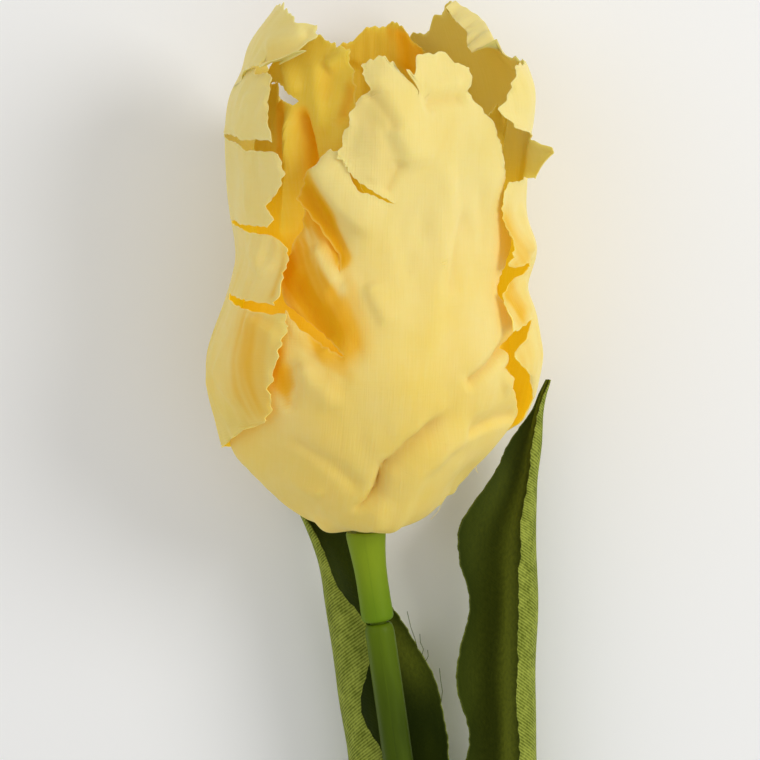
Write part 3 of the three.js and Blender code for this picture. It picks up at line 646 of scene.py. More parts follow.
# The cloth thins towards its edges, from so far inside them, down to this share.
THINNING = 0.9
THIN_SHARE = 0.45
# A fold rises and sinks over this share of its line at each end.
FOLD_ENDS = 0.2
# Widths across a petal are measured on at least this radius.
LEAST_RADIUS = 12
# Cloth without a side cut counts as this far from one.
FAR_FROM_EDGE = 50
# A valley gets painted shade over this share of its width, this strongly for each millimetre of
# depth, and so much less for each step of the amber's warmth.
CREASE_SHARE = 0.7
CREASE_SHADE = 0.32
CREASE_HIDDEN = 3
# Amber and painted shade run in streaks along their line: their ripples, how uneven they are across
# them, and along them by comparison.
TINT_STREAKS = (6, 1.3, 4, 6)
STREAKY = 0.22
STREAK_DRIFT = 0.2
BLOOM_RADIUS = 23


def place_of(column, columns):
    t = 2 * column / columns - 1
    return t * (1 + CROWDING - CROWDING * t * t)


class Petal:
    """One petal's grid, its middle surface and the notes that its finish reads."""

    def __init__(self, spec):
        self.spec = spec
        size = INNER_GRID if "inner" in spec else OUTER_GRID
        self.columns = size["columns"]
        self.rng = np.random.default_rng(spec["seed"])
        self.top = float(travel_of(max(height for _, height in spec["rim"])))
        self._set_rows(size["row_step"])
        self._set_cuts()

    def _set_rows(self, step):
        cuts = self.spec.get("cuts", [])
        marks = [0, *(float(travel_of(cut["height"])) / self.top for cut in cuts), 1]
        levels = [0.0]
        for low, high in zip(marks, marks[1:]):
            steps = max(1, round((high - low) * self.top / step))
            levels.extend(mix(low, high, np.arange(1, steps + 1) / steps))
        self.marks = marks
        self.levels = np.array(levels)
        self.rows = len(levels) - 1

    def _set_cuts(self):
        places = place_of(np.arange(self.columns + 1), self.columns)
        j, i = np.mgrid[0:self.rows + 1, 0:self.columns + 1]
        row_slit = np.zeros(j.shape, bool)
        column_slit = np.zeros(j.shape, bool)
        self.cuts = []
        for k, cut in enumerate(self.spec.get("cuts", [])):
            tip = places[nearest(places, cut["place"])] * cut["side"]
            level = self.marks[k + 1]
            row = nearest(self.levels, level)
            reach = min(level - self.marks[k], self.marks[k + 2] - level)
            self.cuts.append({**cut, "level": level, "row": row, "tip": tip, "reach": reach})
            row_slit |= (j == row) & (places[i] * cut["side"] > tip + 1e-9)
        self.rim_cuts = []
        for cut in self.spec.get("rim_cuts", []):
            column = nearest(places, cut["place"])
            row = nearest(self.levels, 1 - cut["depth"] / self.top)
            self.rim_cuts.append({**cut, "column": column, "row": row, "place": places[column]})
            column_slit |= (i == column) & (j > row)
        self.grid = Grid(self.columns, self.rows, row_slit, column_slit & ~row_slit)
        self.u = places[self.grid.i]

    def toward(self, cut):
        """The share of the way from a side cut's tip to its margin."""
        return np.clip((self.u * cut["side"] - cut["tip"]) / (1 - cut["tip"]), 0, 1)

    def surface(self):
        """The middle surface's points, the notes and the tubes of the stray threads."""
        spec, u = self.spec, self.u
        row_level = self.levels[self.grid.j]
        level, out, turn, apart, edge = self._cut_open(row_level)
        for flap in spec.get("flaps", []):
            out, turn = self._folded(flap, out, turn)
        drop = (self.top - travel_of(along(spec["rim"], u)[0])) * level**RIM_POWER
        travel = level * self.top - drop
        for rim in spec.get("turned_rims", []):
            travel, out = self._turned_in(rim, travel, self.top - drop, out)
        radius, height = along(MERIDIAN, travel)
        low, high = along(spec["margins"], height)
        half = (high - low) / 2 * DEGREES * radius
        to_margin, to_rim = (1 - np.abs(u)) * half, (1 - row_level) * self.top
        near_side, near_rim = (np.clip(1 - d / FRINGE_REACH, 0, 1) for d in (to_margin, to_rim))
        fringed = smooth(height / FRINGED_ABOVE)
        fringe = np.zeros(len(u))
        for pitch, depth in FRINGE:
            left, right, rim = (ragged(self.rng, pitch, way) for way in (travel, travel, u * half))
            fringe += depth * fringed * near_side * np.where(u < 0, left, right) * np.sign(u)
            travel = travel + depth * near_rim * rim
        azimuth = mix(low, high, (u + 1) / 2) + turn + (apart + fringe) / radius / DEGREES
        edge = np.minimum(edge, np.minimum(to_margin, to_rim))

        from_centre = (azimuth - spec["centre"]) * DEGREES
        across = from_centre * np.maximum(radius, LEAST_RADIUS)
        count, pleat_height = spec["pleats"]
        pleat = smooth(height / PLEATED_ABOVE) * smooth((1 - np.abs(u)) / PLEAT_ENDS)
        out += pleat_height * pleat * np.cos(count * from_centre)
        out += self._wrinkles(across, travel, height)
        crease = np.zeros(len(u))
        for ridge, widths, line in spec.get("folds", []):
            away, signed, share = line_distance(line, azimuth, travel, radius)
            width = np.where(signed > 0, *widths)
            rise = ridge * (smooth(share / FOLD_ENDS) * smooth((1 - share) / FOLD_ENDS))
            out += rise * np.exp(-((away / width) ** 2))
            crease += np.maximum(-rise, 0) * np.exp(-((away / width / CREASE_SHARE) ** 2))
        for at_azimuth, at_height, degrees, reach, push in spec.get("swells", []) + BLOOM_SWELLS:
            off = ((azimuth - at_azimuth) / degrees) ** 2 + ((height - at_height) / reach) ** 2
            out += push * np.exp(-off)
        curl = np.clip(1 - edge / CURL_REACH, 0, 1) ** 2
        wave = travel * CURL_WAVES[0] + across * CURL_WAVES[1] + spec["seed"]
        out += CURL * curl * (CURL_OUTWARDS + np.sin(wave)) * fringed
        out -= along(spec["inset"], height)[0]

        points = keep_above(on_bloom(azimuth, travel, out), CLOTH / 2 + np.maximum(0, -out))
        warmth = self._warmth(azimuth, travel, radius, across)
        # Valleys get painted shade: the warmth turns negative there, less so where amber is.
        warmth -= CREASE_SHADE * crease * np.clip(1 - CREASE_HIDDEN * warmth, 0, 1)
        tubes = thread_tubes(points, azimuth, height, spec.get("threads", []))
        return points, {"weave": (across, travel), "tint_and_light": (warmth, edge)}, tubes

    def _cut_open(self, row_level):
        """Opens the side cuts and the rim cuts. It gives each corner's level, how far it stands
        out, comes round the bloom and moves apart, and how far it lies from the side cuts."""
        u, first, i, j = self.u, self.grid.is_first, self.grid.i, self.grid.j
        level = row_level.copy()
        out, turn, apart = (np.zeros(len(u)) for _ in range(3))
        edge = np.full(len(u), float(FAR_FROM_EDGE))
        for cut in self.cuts:
            above = np.where(j == cut["row"], first, j > cut["row"])
            near = beside(row_level, cut["level"], cut["reach"])
            t = self.toward(cut)
            out += smooth(t) * near * np.where(above, cut["above"], cut["below"])
            turn += t * near * np.where(above, cut.get("round_above", 0), cut.get("round_below", 0))
            level += t * near * cut["rise"] / self.top
            width = straight(cut["opening"], t) * near**CUT_NARROWS
            level -= np.where(above, 0, width) / self.top
            away = np.abs(row_level - cut["level"]) * self.top
            frayed = np.clip(1 - away / FRAY_REACH, 0, 1) * smooth(t / FRAY_START) * FRAY_DEPTH
            frays = [ragged(self.rng, FRAY_PITCH, u * FRAYED_HALF) for _ in range(2)]
            level += frayed * np.where(above, *frays) / self.top
            edge = np.minimum(edge, np.where(t > 0, away, FAR_FROM_EDGE))
        for cut in self.rim_cuts:
            right = np.where(i == cut["column"], first, i > cut["column"])
            base = self.levels[cut["row"]]
            up = np.clip((row_level - base) / (1 - base), 0, 1)
            bulge = smooth(up) * beside(u, cut["place"], RIM_CUT_BULGE)
            out += bulge * np.where(right, cut["right"], cut["left"])
            fan = up * beside(u, cut["place"], RIM_CUT_OPENING)
            apart += np.where(right, 0.5, -0.5) * cut["width"] * fan
            turn += cut["lean"] * up * beside(u, cut["place"], RIM_CUT_LEAN)
        return level, out, turn, apart, edge

    def _warmth(self, azimuth, travel, radius, across):
        """The warmth of amber, partly dyeing and partly painted shade and painted light soaked through
        the cloth, and negative for painted shade, in streaks along the straight way between each line's
        ends.
        """
        warmth = np.zeros(len(azimuth))
        for strongest, width, line in self.spec.get("tint_lines", []):
            away, _, _ = line_distance(line, azimuth, travel, radius)
            way = (np.array(line[-1]) - line[0]) * [BLOOM_RADIUS * DEGREES, 1]
            way /= np.linalg.norm(way)
            beside_it = across * way[1] - travel * way[0]
            along_it = across * way[0] + travel * way[1]
            streaks = Ripples(self.rng, *TINT_STREAKS).at(beside_it, along_it * STREAK_DRIFT)
            strength = np.exp(-((away / width) ** 2)) * (1 + STREAKY * streaks)
            warmth += strongest * np.maximum(strength, 0)
        return warmth

    def _folded(self, flap, out, turn):
        """Folds the flap between two side cuts outwards and back."""
        lower, upper = (
            next(cut for cut in self.cuts if cut["height"] == flap[end]) for end in ("low", "high")
        )
        j, first = self.grid.j, self.grid.is_first
        above = (j > lower["row"]) | ((j == lower["row"]) & first)
        below = (j < upper["row"]) | ((j == upper["row"]) & ~first)
        t = np.minimum(self.toward(lower), self.toward(upper))
        up = 2 * (self.levels[j] - lower["level"]) / (upper["level"] - lower["level"]) - 1
        from_peak = up - flap["peak"]
        ends = np.where(from_peak < 0, *flap["ends"])
        to_end = 1 + flap["peak"] * np.sign(-from_peak)
        fold = smooth(2 * t - 1) * mix(1, ends, np.abs(from_peak) / to_end)
        inside = above & below
        out = out + np.where(inside, flap["out"] * fold, 0)
        turn = turn - np.where(inside, flap["side"] * flap["back"] * t, 0)
        return out, turn

    def _turned_in(self, rim, travel, rim_travel, out):
        """Folds a strip of the rim over to the inside."""
        share = np.clip((self.u - rim["low"]) / (rim["high"] - rim["low"]), 0, 1)
        within = (self.u >= rim["low"]) & (self.u <= rim["high"])
        width = mix(*rim["width"], share)
        past = np.where(within, np.maximum(travel - (rim_travel - width), 0), 0)
        travel = travel - TURN_BACK * past
        out = out - TURN_IN * past - TURN_DEPTH * (1 - np.exp(-past / TURN_REACH))
        return travel, out

    def _wrinkles(self, across, travel, height):
        broad = Ripples(self.rng, *BROAD_WRINKLES).at(across, travel * BROAD_RISE)
        fine = Ripples(self.rng, *FINE_WRINKLES).at(across, travel * FINE_RISE)
        patch = Ripples(self.rng, *WRINKLED_PATCHES).at(across, travel)
        amount = mix(WRINKLED_FOOT, 1, smooth(height / WRINKLED_ABOVE))
        return amount * (BROAD_HEIGHT * broad + FINE_HEIGHT * fine * smooth(0.5 + patch))


def line_distance(line, azimuth, travel, radius):
    """How far points of the bloom lie from a line of (azimuth, height) points, on which side of it
    they lie, and at which share of its way they are nearest."""
    line = np.array(line, float)
    line_travel = travel_of(line[:, 1])
    line_x = line[:, 0] * DEGREES * along(MERIDIAN, line_travel)[0]
    x = azimuth * DEGREES * radius
    distance = np.full(len(x), 1e9)
    signed = np.zeros(len(x))
    share = np.zeros(len(x))
    count = len(line) - 1
    for k in range(count):
        ax, ay, bx, by = line_x[k], line_travel[k], line_x[k + 1], line_travel[k + 1]
        dx, dy = bx - ax, by - ay
        t = np.clip(((x - ax) * dx + (travel - ay) * dy) / (dx**2 + dy**2), 0, 1)
        away = np.hypot(x - ax - t * dx, travel - ay - t * dy)
        side = np.sign((x - ax) * dy - (travel - ay) * dx)
        signed = np.where(away < distance, side, signed)
        share = np.where(away < distance, (k + t) / count, share)
        distance = np.minimum(distance, away)
    return distance, signed, share


# The stem's axis, by the way down it, bends to the right below the bloom and comes gently back.
# Above the foot it follows the bloom's lean.
STEM_BEND = 0.165
BEND_START = 3
BEND_BACK = 380


def stem_x(y):
    down = STEM_BEND * y**2 / (BEND_START - np.minimum(y, 0)) * (1 + y / BEND_BACK)
    return np.where(y > 0, y * math.tan(BLOOM_LEAN * DEGREES), down)


def ring_rows(profile, sides):
    """The radius, height and azimuth of each corner of a profile of [radius, height] turned
    round Y."""
    rows = np.array(profile, float)
    azimuth = np.tile(2 * math.pi * np.arange(sides) / sides, len(rows))
    return np.repeat(rows[:, 0], sides), np.repeat(rows[:, 1], sides), azimuth


def band(low, high, sides):
    """The faces between rings of corners, given by the first corners of the lower and the upper."""
    n = np.arange(sides)
    after = (n + 1) % sides
    first = np.stack([low + n, low + after, high + after], -1)
    second = np.stack([low + n, high + after, high + n], -1)
    return np.concatenate([first.reshape(-1, 3), second.reshape(-1, 3)])


def turned_on_stem(name, profile, sides, relief=None):
    """Turns a closed profile of [radius, height] round the stem's axis and bends it along it."""
    r, y, a = ring_rows(profile, sides)
    if relief is not None:
        r = r + relief(a, y) * (r > STEM_RADIUS * 0.6)
    x, z = r * np.sin(a), r * np.cos(a)
    slope = stem_x(y + 0.5) - stem_x(y - 0.5)
    length = np.hypot(1, slope)
    points = np.stack([stem_x(y) + x / length, y - x * slope / length, z], -1)
    last = (len(profile) - 1) * sides
    low = np.arange(0, last, sides)[:, None]
    faces = band(low, low + sides, sides)
    # The profile's ends lie on the axis, where each row of corners is one corner.
    faces = np.where(faces < sides, 0, np.where(faces >= last, last, faces))
    whole = (faces != np.roll(faces, 1, axis=1)).all(axis=1)
    used, faces = np.unique(faces[whole], return_inverse=True)
    around = np.stack([a, y, r], -1)[used]
    return build_mesh(name, laid_down(points[used]), faces.reshape(-1, 3), {"along": around})


def fine_profile(points, step):
    """A profile with more points on its straight stretches."""
    found = [points[0]]
    for a, b in zip(points, points[1:]):
        steps = max(1, math.ceil(math.dist(a, b) / step))
        shares = (n / steps for n in range(1, steps + 1))
        found.extend((mix(a[0], b[0], share), mix(a[1], b[1], share)) for share in shares)
    return found


# The collar lies under the petals' feet, and the waisted barrel with its lip below that. The bore
# takes the stem's plug.
SEAT = -2 * GAP
COLLAR_RADIUS = 3.05
PEG_RADIUS = 1.6
BORE_RADIUS = 1.65
BORE_DEPTH = 9
LIP_RADIUS = 2.6
LIP_HEIGHT = 0.9
BARREL_TOP = SEAT - 0.3
PLUG_RADIUS = 1.35
PLUG_LENGTH = BORE_DEPTH - GAP
SHOULDER = -SOCKET_LENGTH - GAP
SHOULDER_HEIGHT = 1.5
SEAM_HEIGHT = 0.06
SEAM_WIDTH = 0.02
STEM_UNEVEN = 0.035
STEM_RIPPLES = (4, 24, 60, 10)


def make_socket():
    """A peg up through the petals, a collar under them and a waisted barrel with a blind bore."""
    lip = -SOCKET_LENGTH
    lip_top = lip + LIP_HEIGHT
    waist = [(lip_top, LIP_RADIUS), (-11, 2.55), (-7, 2.6), (-4, 2.85), (-1.6, 3.15), (BARREL_TOP, 3.2)]
    heights = np.linspace(lip_top, BARREL_TOP, 40)
    round_lip = [
        (LIP_RADIUS - 0.75 * (1 - math.cos(t)), lip_top - 0.85 * math.sin(t))
        for t in np.linspace(math.pi / 2, 0.12, 8)
    ]
    profile = [(0, lip + BORE_DEPTH), (BORE_RADIUS, lip + BORE_DEPTH), (BORE_RADIUS, lip), *round_lip]
    profile += zip(along(waist, heights)[0], heights)
    profile += [(COLLAR_RADIUS, SEAT), (PEG_RADIUS, SEAT), (PEG_RADIUS, PEG_TOP - 0.4)]
    profile += [(PEG_RADIUS - 0.4, PEG_TOP), (0, PEG_TOP)]
    return turned_on_stem("socket_moulding", profile, 64)


def make_stem():
    """A long rod with a rounded shoulder, a low mould seam and a plug in the socket's bore."""
    shoulder_foot = SHOULDER - SHOULDER_HEIGHT
    plug_top = SHOULDER + PLUG_LENGTH
    rod = [(STEM_RADIUS, y) for y in np.linspace(-STEM_LENGTH + 0.25, shoulder_foot, 240)]
    round_top = [
        (STEM_RADIUS - 0.65 * (1 - math.cos(t)), shoulder_foot + SHOULDER_HEIGHT * math.sin(t))
        for t in np.linspace(0.2, math.pi / 2, 9)
    ]
    profile = [(0, -STEM_LENGTH), (STEM_RADIUS - 0.25, -STEM_LENGTH), *rod, *round_top]
    profile += [(PLUG_RADIUS, SHOULDER), (PLUG_RADIUS, plug_top - 0.3)]
    profile += [(PLUG_RADIUS - 0.3, plug_top), (0, plug_top)]
    ripples = Ripples(np.random.default_rng(71), *STEM_RIPPLES)

    def relief(a, y):
        seam = SEAM_HEIGHT * np.exp(-(((a / math.pi % 1 - 0.5) / SEAM_WIDTH) ** 2))
        uneven = STEM_UNEVEN * ripples.at(y, a * 8)
        return np.where(y < shoulder_foot + 0.1, seam + uneven, 0)

    return turned_on_stem("stem_rod", profile, 56, relief)


# A leaf runs from its base to its tip at heights on the flower's own Y. Its sections, by share of
# that way, give the midrib's x and z and the roll of the whole section, then for the left and the
# right half the width, the first slope and the further turn up to the margin. On one side of it
# the margin waves in and out along the curl. A lit patch is lighter colour painted where light
# falls: it has its place across and up the leaf, its reach both ways and its strength. A stray
# thread is given as a petal's is, but starts at ten times a place across the leaf.
LEAVES = {
    "leaf_left": {
        "base": -196,
        "tip": 6,
        "sections": [
            (0, 13.9, -2.7, -30, 6.6, 0, 122, 6.6, 0, 122),
            (0.12, 12, -6, -22, 10.5, 5, 90, 8.5, 2, 60),
            (0.3, 8.4, -10.4, -10, 15, 8, 95, 8.5, 4, 26),
            (0.5, 5.4, -13.2, -4, 17.5, 6, 125, 10.5, 8, 26),
            (0.7, 3.4, -14, 0, 17, 4, 160, 12, 14, 26),
            (0.78, 2.3, -14.4, 0, 16.6, 0, 176, 12.4, 10, 24),
            (0.83, 0.9, -14.8, 0, 16.2, 0, 176, 11.6, 8, 24),
            (0.876, -0.4, -15.2, 0, 15.8, 0, 176, 7.9, 8, 22),
            (0.908, -2, -15.7, 0, 14.4, 0, 172, 4.4, 8, 20),
            (0.936, -4.4, -16.3, 0, 10.2, 0, 160, 3.4, 6, 16),
            (0.96, -7.1, -17, 0, 6, 0, 140, 4.6, 4, 12),
            (0.98, -9.2, -17.8, 0, 3.4, 0, 90, 5.2, 2, 10),
            (1, -11.6, -18.6, 0, 0.7, 0, 20, 0.7, 0, 10),
        ],
        "waves": {"side": -1, "height": 1.6, "pitch": 22, "start": -19},
        "lit_patch": [(0.7, 0.86, 0.3, 0.03, 0.6)],
        "threads": [
            (10, -21.6, [(-0.4, 1.6, 0.4), (-1.1, 3.6, 0.5), (-1.7, 6.2, 0.4)]),
            (10, -22.8, [(0.2, 1, 0.5), (-0.3, 2.2, 0.8), (-0.4, 3.6, 0.8)]),
            (10, -23.6, [(0.4, 0.8, 0.2), (0.3, 1.9, 0.3)]),
            (10, -30.4, [(0.2, 1.8, 0.3), (-0.1, 3.6, 0.4), (-0.3, 5.6, 0.3)]),
        ],
        "seed": 83,
    },
    "leaf_right": {
        "base": -172,
        "tip": 22.2,
        "sections": [
            (0, 17.8, -1.6, 60, 6.6, 0, 122, 6.6, 0, 122),
            (0.12, 19.8, -4, 45, 8, 10, 70, 10, 4, 100),
            (0.3, 23.6, -8, 15, 9, 25, 25, 13.5, 6, 118),
            (0.5, 24, -12, 6, 9, 25, 22, 14, 4, 135),
            (0.7, 22.9, -13.6, 0, 8.4, 20, 24, 13.2, 0, 158),
            (0.82, 23, -14.4, 0, 8.4, 20, 22, 13, 0, 160),
            (0.87, 23.5, -14.6, 0, 8.4, 18, 20, 11.5, 0, 158),
            (0.9, 24.8, -14.8, 0, 8, 16, 18, 8.6, 0, 165),
            (0.92, 25.8, -15, 0, 6.6, 14, 16, 6.4, 0, 169),
            (0.947, 26.7, -15.1, 0, 3.6, 10, 14, 6, 0, 170),
            (0.96, 27.2, -15.1, 0, 2, 8, 12, 5.2, 0, 170),
            (0.974, 27.8, -15.2, 0, 0.5, 4, 10, 4, 0, 168),
            (0.988, 28.7, -15.3, 0, 0.4, 0, 10, 2.4, 0, 160),
            (1, 29.7, -15.5, 0, 0.3, 0, 10, 0.9, 0, 120),
        ],
        "waves": {"side": -1, "height": 1.5, "pitch": 22.3, "start": -3.3},
        "lit_patch": [(0.02, 0.6, 0.15, 0.5, 1.1), (-0.4, 0.8, 0.5, 0.5, 0.25)],
        "seed": 97,
    },
}
LEAF_GRID = {"columns": 44, "rows": 400}
# The margin's waves grow over this share of the leaf from its base, and fade over the other one
# towards its tip.
WAVE_RISE = 1 / 3
WAVE_FALL = 1 / 9
# The margin's zigzags, each with its pitch and depth, move the cloth within so much of it. They
# and the ripples are full where a half is at least so wide.
LEAF_FRINGE = [(1.1, 0.16), (0.7, 0.1), (5, 0.25)]
LEAF_FRINGE_REACH = 2
FRINGED_WIDTH = 3
LEAF_RIPPLES = (5, 9, 26, 50)
LEAF_RIPPLE_HEIGHT = 0.22
LEAF_RIPPLE_RISE = 0.6
RIPPLED_WIDTH = 5


def make_leaf(name, leaf):
    columns, rows = LEAF_GRID["columns"], LEAF_GRID["rows"]
    none = np.zeros((rows + 1, columns + 1), bool)
    grid = Grid(columns, rows, none, none)
    rng = np.random.default_rng(leaf["seed"])
    u = place_of(grid.i, columns)
    v = grid.j / rows
    y = mix(leaf["base"], leaf["tip"], v)
    x, z, roll, *halves = along(leaf["sections"], v)
    width, slope, turn = (np.where(u < 0, halves[k], halves[k + 3]) for k in range(3))
    waves = leaf["waves"]
    fade = smooth(v / WAVE_RISE) * smooth((1 - v) / WAVE_FALL)
    wave = np.cos(2 * math.pi * (y - waves["start"]) / waves["pitch"])
    wave = np.where(np.sign(u) == waves["side"], wave, 0)
    reach = np.abs(u) * (1 + waves["height"] * fade * wave / width)
    fringe = sum(depth * ragged(rng, pitch, y) for pitch, depth in LEAF_FRINGE)
    edge = (1 - np.abs(u)) * width
    near_margin = np.clip(1 - edge / LEAF_FRINGE_REACH, 0, 1)
    reach *= 1 + fringe * smooth(width / FRINGED_WIDTH) * near_margin / width
    start, end = slope * DEGREES, (slope + turn * reach) * DEGREES
    radius = width / (turn * DEGREES)
    across = radius * (np.sin(end) - np.sin(start))
    up = radius * (np.cos(start) - np.cos(end))
    from_rib = np.sign(u) * reach * width
    ripple = Ripples(rng, *LEAF_RIPPLES).at(from_rib, y * LEAF_RIPPLE_RISE)
    lift = LEAF_RIPPLE_HEIGHT * ripple * smooth(width / RIPPLED_WIDTH)
    up = up + lift * np.cos(end)
    across = across - lift * np.sin(end)
    across, up = turned(np.sign(u) * across, up, roll * DEGREES)
    points = keep_above(np.stack([x + across, y, z + up], -1), CLOTH / 2)
    lit_patch = np.zeros(len(u))
    for at_u, at_v, wide, long, strength in leaf["lit_patch"]:
        lit_patch += strength * np.exp(-(((u - at_u) / wide) ** 2 + ((v - at_v) / long) ** 2))
    notes = {"weave": (from_rib, y), "tint_and_light": (lit_patch, edge)}
    tubes = thread_tubes(points, u * 10, y, leaf.get("threads", []))
    return cloth_sheet(name, grid, points, np.full(len(u), CLOTH), notes, tubes)


def make_petal(name, spec):
    petal = Petal(spec)
    points, notes, tubes = petal.surface()
    _, edge = notes["tint_and_light"]
    thickness = CLOTH * mix(THIN_SHARE, 1, smooth(edge / THINNING))
    return cloth_sheet(name, petal.grid, points, thickness, notes, tubes)


PISTIL_HEIGHT = 21
LOBE_RADIUS = 1.5
ANTHER_FOOT = 8.4
ANTHER_HALF = 4.1
# The ring that carries the stamens, as [radius, height], and the foot of a stamen on it.
STAMEN_RING = [(1.9, 4), (3.6, 4), (3.6, 5.2), (1.9, 5.2)]
RING_MIDDLE = 4.6
STAMEN_FOOT = (3, 4.8)
STAMEN_LEAN = 0.2


def joined(name, shells, axis_height, lift):
    """One piece of several closed shells, each given by its points and its faces. They are lifted
    and moved to the stem's axis at a height."""
    shift = np.array([float(stem_x(np.float64(axis_height))), lift, 0])
    points, faces, count = [], [], 0
    for shell_points, shell_faces in shells:
        points.append(shell_points + shift)
        faces.append(shell_faces + count)
        count += len(shell_points)
    points = np.concatenate(points)
    return build_mesh(name, laid_down(points), np.concatenate(faces), {"along": points})


def round_y(r, y, azimuth):
    return np.stack([r * np.sin(azimuth), y, r * np.cos(azimuth)], -1)


def lathe(profile, sides):
    """A closed shell turned round Y from a profile that starts and ends on the axis."""
    foot, *inner, top = profile
    rings = round_y(*ring_rows(inner, sides))
    points = np.concatenate([[(0, foot[1], 0)], rings, [(0, top[1], 0)]])
    n = np.arange(sides)
    after = (n + 1) % sides
    last = 1 + (len(inner) - 1) * sides
    faces = [np.stack([np.zeros_like(n), 1 + after, 1 + n], -1)]
    faces += [band(low, low + sides, sides) for low in range(1, last, sides)]
    faces.append(np.stack([last + n, last + after, np.full_like(n, len(points) - 1)], -1))
    return points, np.concatenate(faces)


def turned_about_y(points, angle):
    x, y, z = points.T
    z, x = turned(z, x, angle)
    return np.stack([x, y, z], -1)


def make_pistil():
    """A swelling column with three soft ribs and a stigma of three lobes."""
    heights = np.linspace(0, 1, 40)
    table = [(0, 1.7), (0.1, 2.3), (0.38, 2.5), (0.67, 2.2), (0.88, 1.5), (0.96, 1.1), (1, 0.9)]
    column = zip(along(table, heights)[0], heights * (PISTIL_HEIGHT - 0.8))
    points, faces = lathe([(0, 0), *column, (0, PISTIL_HEIGHT - 0.6)], 36)
    angle = np.arctan2(points[:, 0], points[:, 2])
    points[:, [0, 2]] *= (1 + 0.07 * np.cos(3 * angle))[:, None]
    shells = [(points, faces)]
    t = np.linspace(0, math.pi, 18)
    ball, ball_faces = lathe(zip(np.sin(t) * LOBE_RADIUS, -np.cos(t) * LOBE_RADIUS), 24)
    crease = 1 - 0.25 * np.exp(-((ball[:, 2] / 0.35) ** 2)) * (ball[:, 1] > 0)
    shape = np.stack([np.ones(len(ball)), crease, np.ones(len(ball))], -1)
    lobe = ball * [1, 0.7, 0.75] * shape + [1.2, PISTIL_HEIGHT - 0.9, 0]
    shells += [(turned_about_y(lobe, k * 2 * math.pi / 3 + 0.2), ball_faces) for k in range(3)]
    return joined("pistil_moulding", shells, PEG_TOP + GAP, PEG_TOP + GAP)


def make_stamens():
    """Six filaments on a ring, leaning out, each with a long grooved anther."""
    ring = fine_profile(STAMEN_RING, 0.3)
    sides, count = 48, len(ring)
    bands = [band(k * sides, (k + 1) % count * sides, sides) for k in range(count)]
    shells = [(round_y(*ring_rows(ring, sides)), np.concatenate(bands))]
    filament = lathe([(0, 0), (0.55, 0), (0.4, ANTHER_FOOT + 1.6), (0, ANTHER_FOOT + 1.6)], 16)
    t = np.linspace(0, math.pi, 26)
    outline = zip(np.sin(t) ** 0.6 * 0.85, ANTHER_FOOT - np.cos(t) * ANTHER_HALF)
    anther, anther_faces = lathe(outline, 28)
    angle = np.arctan2(anther[:, 0], anther[:, 2])
    anther[:, [0, 2]] *= (1 - 0.16 * np.cos(2 * angle) ** 8)[:, None]
    for k in range(6):
        for shell, faces in (filament, (anther + [0, ANTHER_HALF, 0], anther_faces)):
            x, y, z = shell.T
            y, x = turned(y, x, STAMEN_LEAN)
            leaning = np.stack([x + STAMEN_FOOT[0], y + STAMEN_FOOT[1], z], -1)
            shells.append((turned_about_y(leaning, (k + 0.5) * math.pi / 3), faces))
    return joined("stamen_moulding", shells, RING_MIDDLE, 0)


class Value:
    """A number that changes over a surface, so that sums on it add the nodes for them."""

    def __init__(self, finish, socket):
        self.finish, self.socket = finish, socket

    def _with(self, operation, *others):
        return self.finish.node("ShaderNodeMath", {"operation": operation}, [self, *others])

    def __add__(self, other):
        return self._with("ADD", other)

    def __sub__(self, other):
        return self._with("SUBTRACT", other)

    def __rsub__(self, other):
        return self.finish.node("ShaderNodeMath", {"operation": "SUBTRACT"}, [other, self])

    def __mul__(self, other):
        return self._with("MULTIPLY", other)

    __radd__ = __add__
    __rmul__ = __mul__

    def sine(self):
        return self._with("SINE")

    def size(self):
        return self._with("ABSOLUTE")

    def between(self, low, high):
        """0 below low, 1 above high and a smooth step between them."""
        settings = {"interpolation_type": "SMOOTHSTEP"}
        return self.finish.node("ShaderNodeMapRange", settings, {"Value": self, 1: low, 2: high})


class Finish:
    """A material on one Principled shader, and the one method that adds its other nodes."""

    def __init__(self, name, **constants):
        self.material = bpy.data.materials.new(name)
        self.material.use_nodes = True
        self.tree = self.material.node_tree
        self.shader = self.tree.nodes["Principled BSDF"]
        for socket, value in constants.items():
            self.shader.inputs[socket.replace("_", " ")].default_value = value

    def node(self, kind, settings=None, inputs=None, output=0):
        made = self.tree.nodes.new(kind)
        for setting, value in (settings or {}).items():
            setattr(made, setting, value)
        pairs = inputs.items() if isinstance(inputs, dict) else enumerate(inputs or [])
        for socket, value in pairs:
            if isinstance(value, Value):
                self.tree.links.new(value.socket, made.inputs[socket])
            else:
                made.inputs[socket].default_value = value
        return Value(self, made.outputs[output])

    def note(self, name):
        """The three numbers that a piece holds under this name."""
        held = self.node("ShaderNodeAttribute", {"attribute_name": name}, output="Vector")
        return [self.node("ShaderNodeSeparateXYZ", None, [held], k) for k in range(3)]

    def noise(self, x, y, z=0.0, detail=2.0):
        place = self.node("ShaderNodeCombineXYZ", None, [x, y, z])
        sockets = {"Vector": place, "Scale": 1.0, "Detail": detail}
        return self.node("ShaderNodeTexNoise", {"noise_dimensions": "3D"}, sockets)

    def blend(self, share, first, second):
        """The first colour where share is 0 and the second where it is 1."""
        sockets = {0: share, 6: first, 7: second}
        return self.node("ShaderNodeMix", {"data_type": "RGBA"}, sockets, output=2)

    def bumpy(self, height, distance, strength):
        sockets = {"Strength": strength, "Distance": distance, "Height": height}
        self.give("Normal", self.node("ShaderNodeBump", None, sockets))

    def give(self, socket, value):
        self.tree.links.new(value.socket, self.shader.inputs[socket])


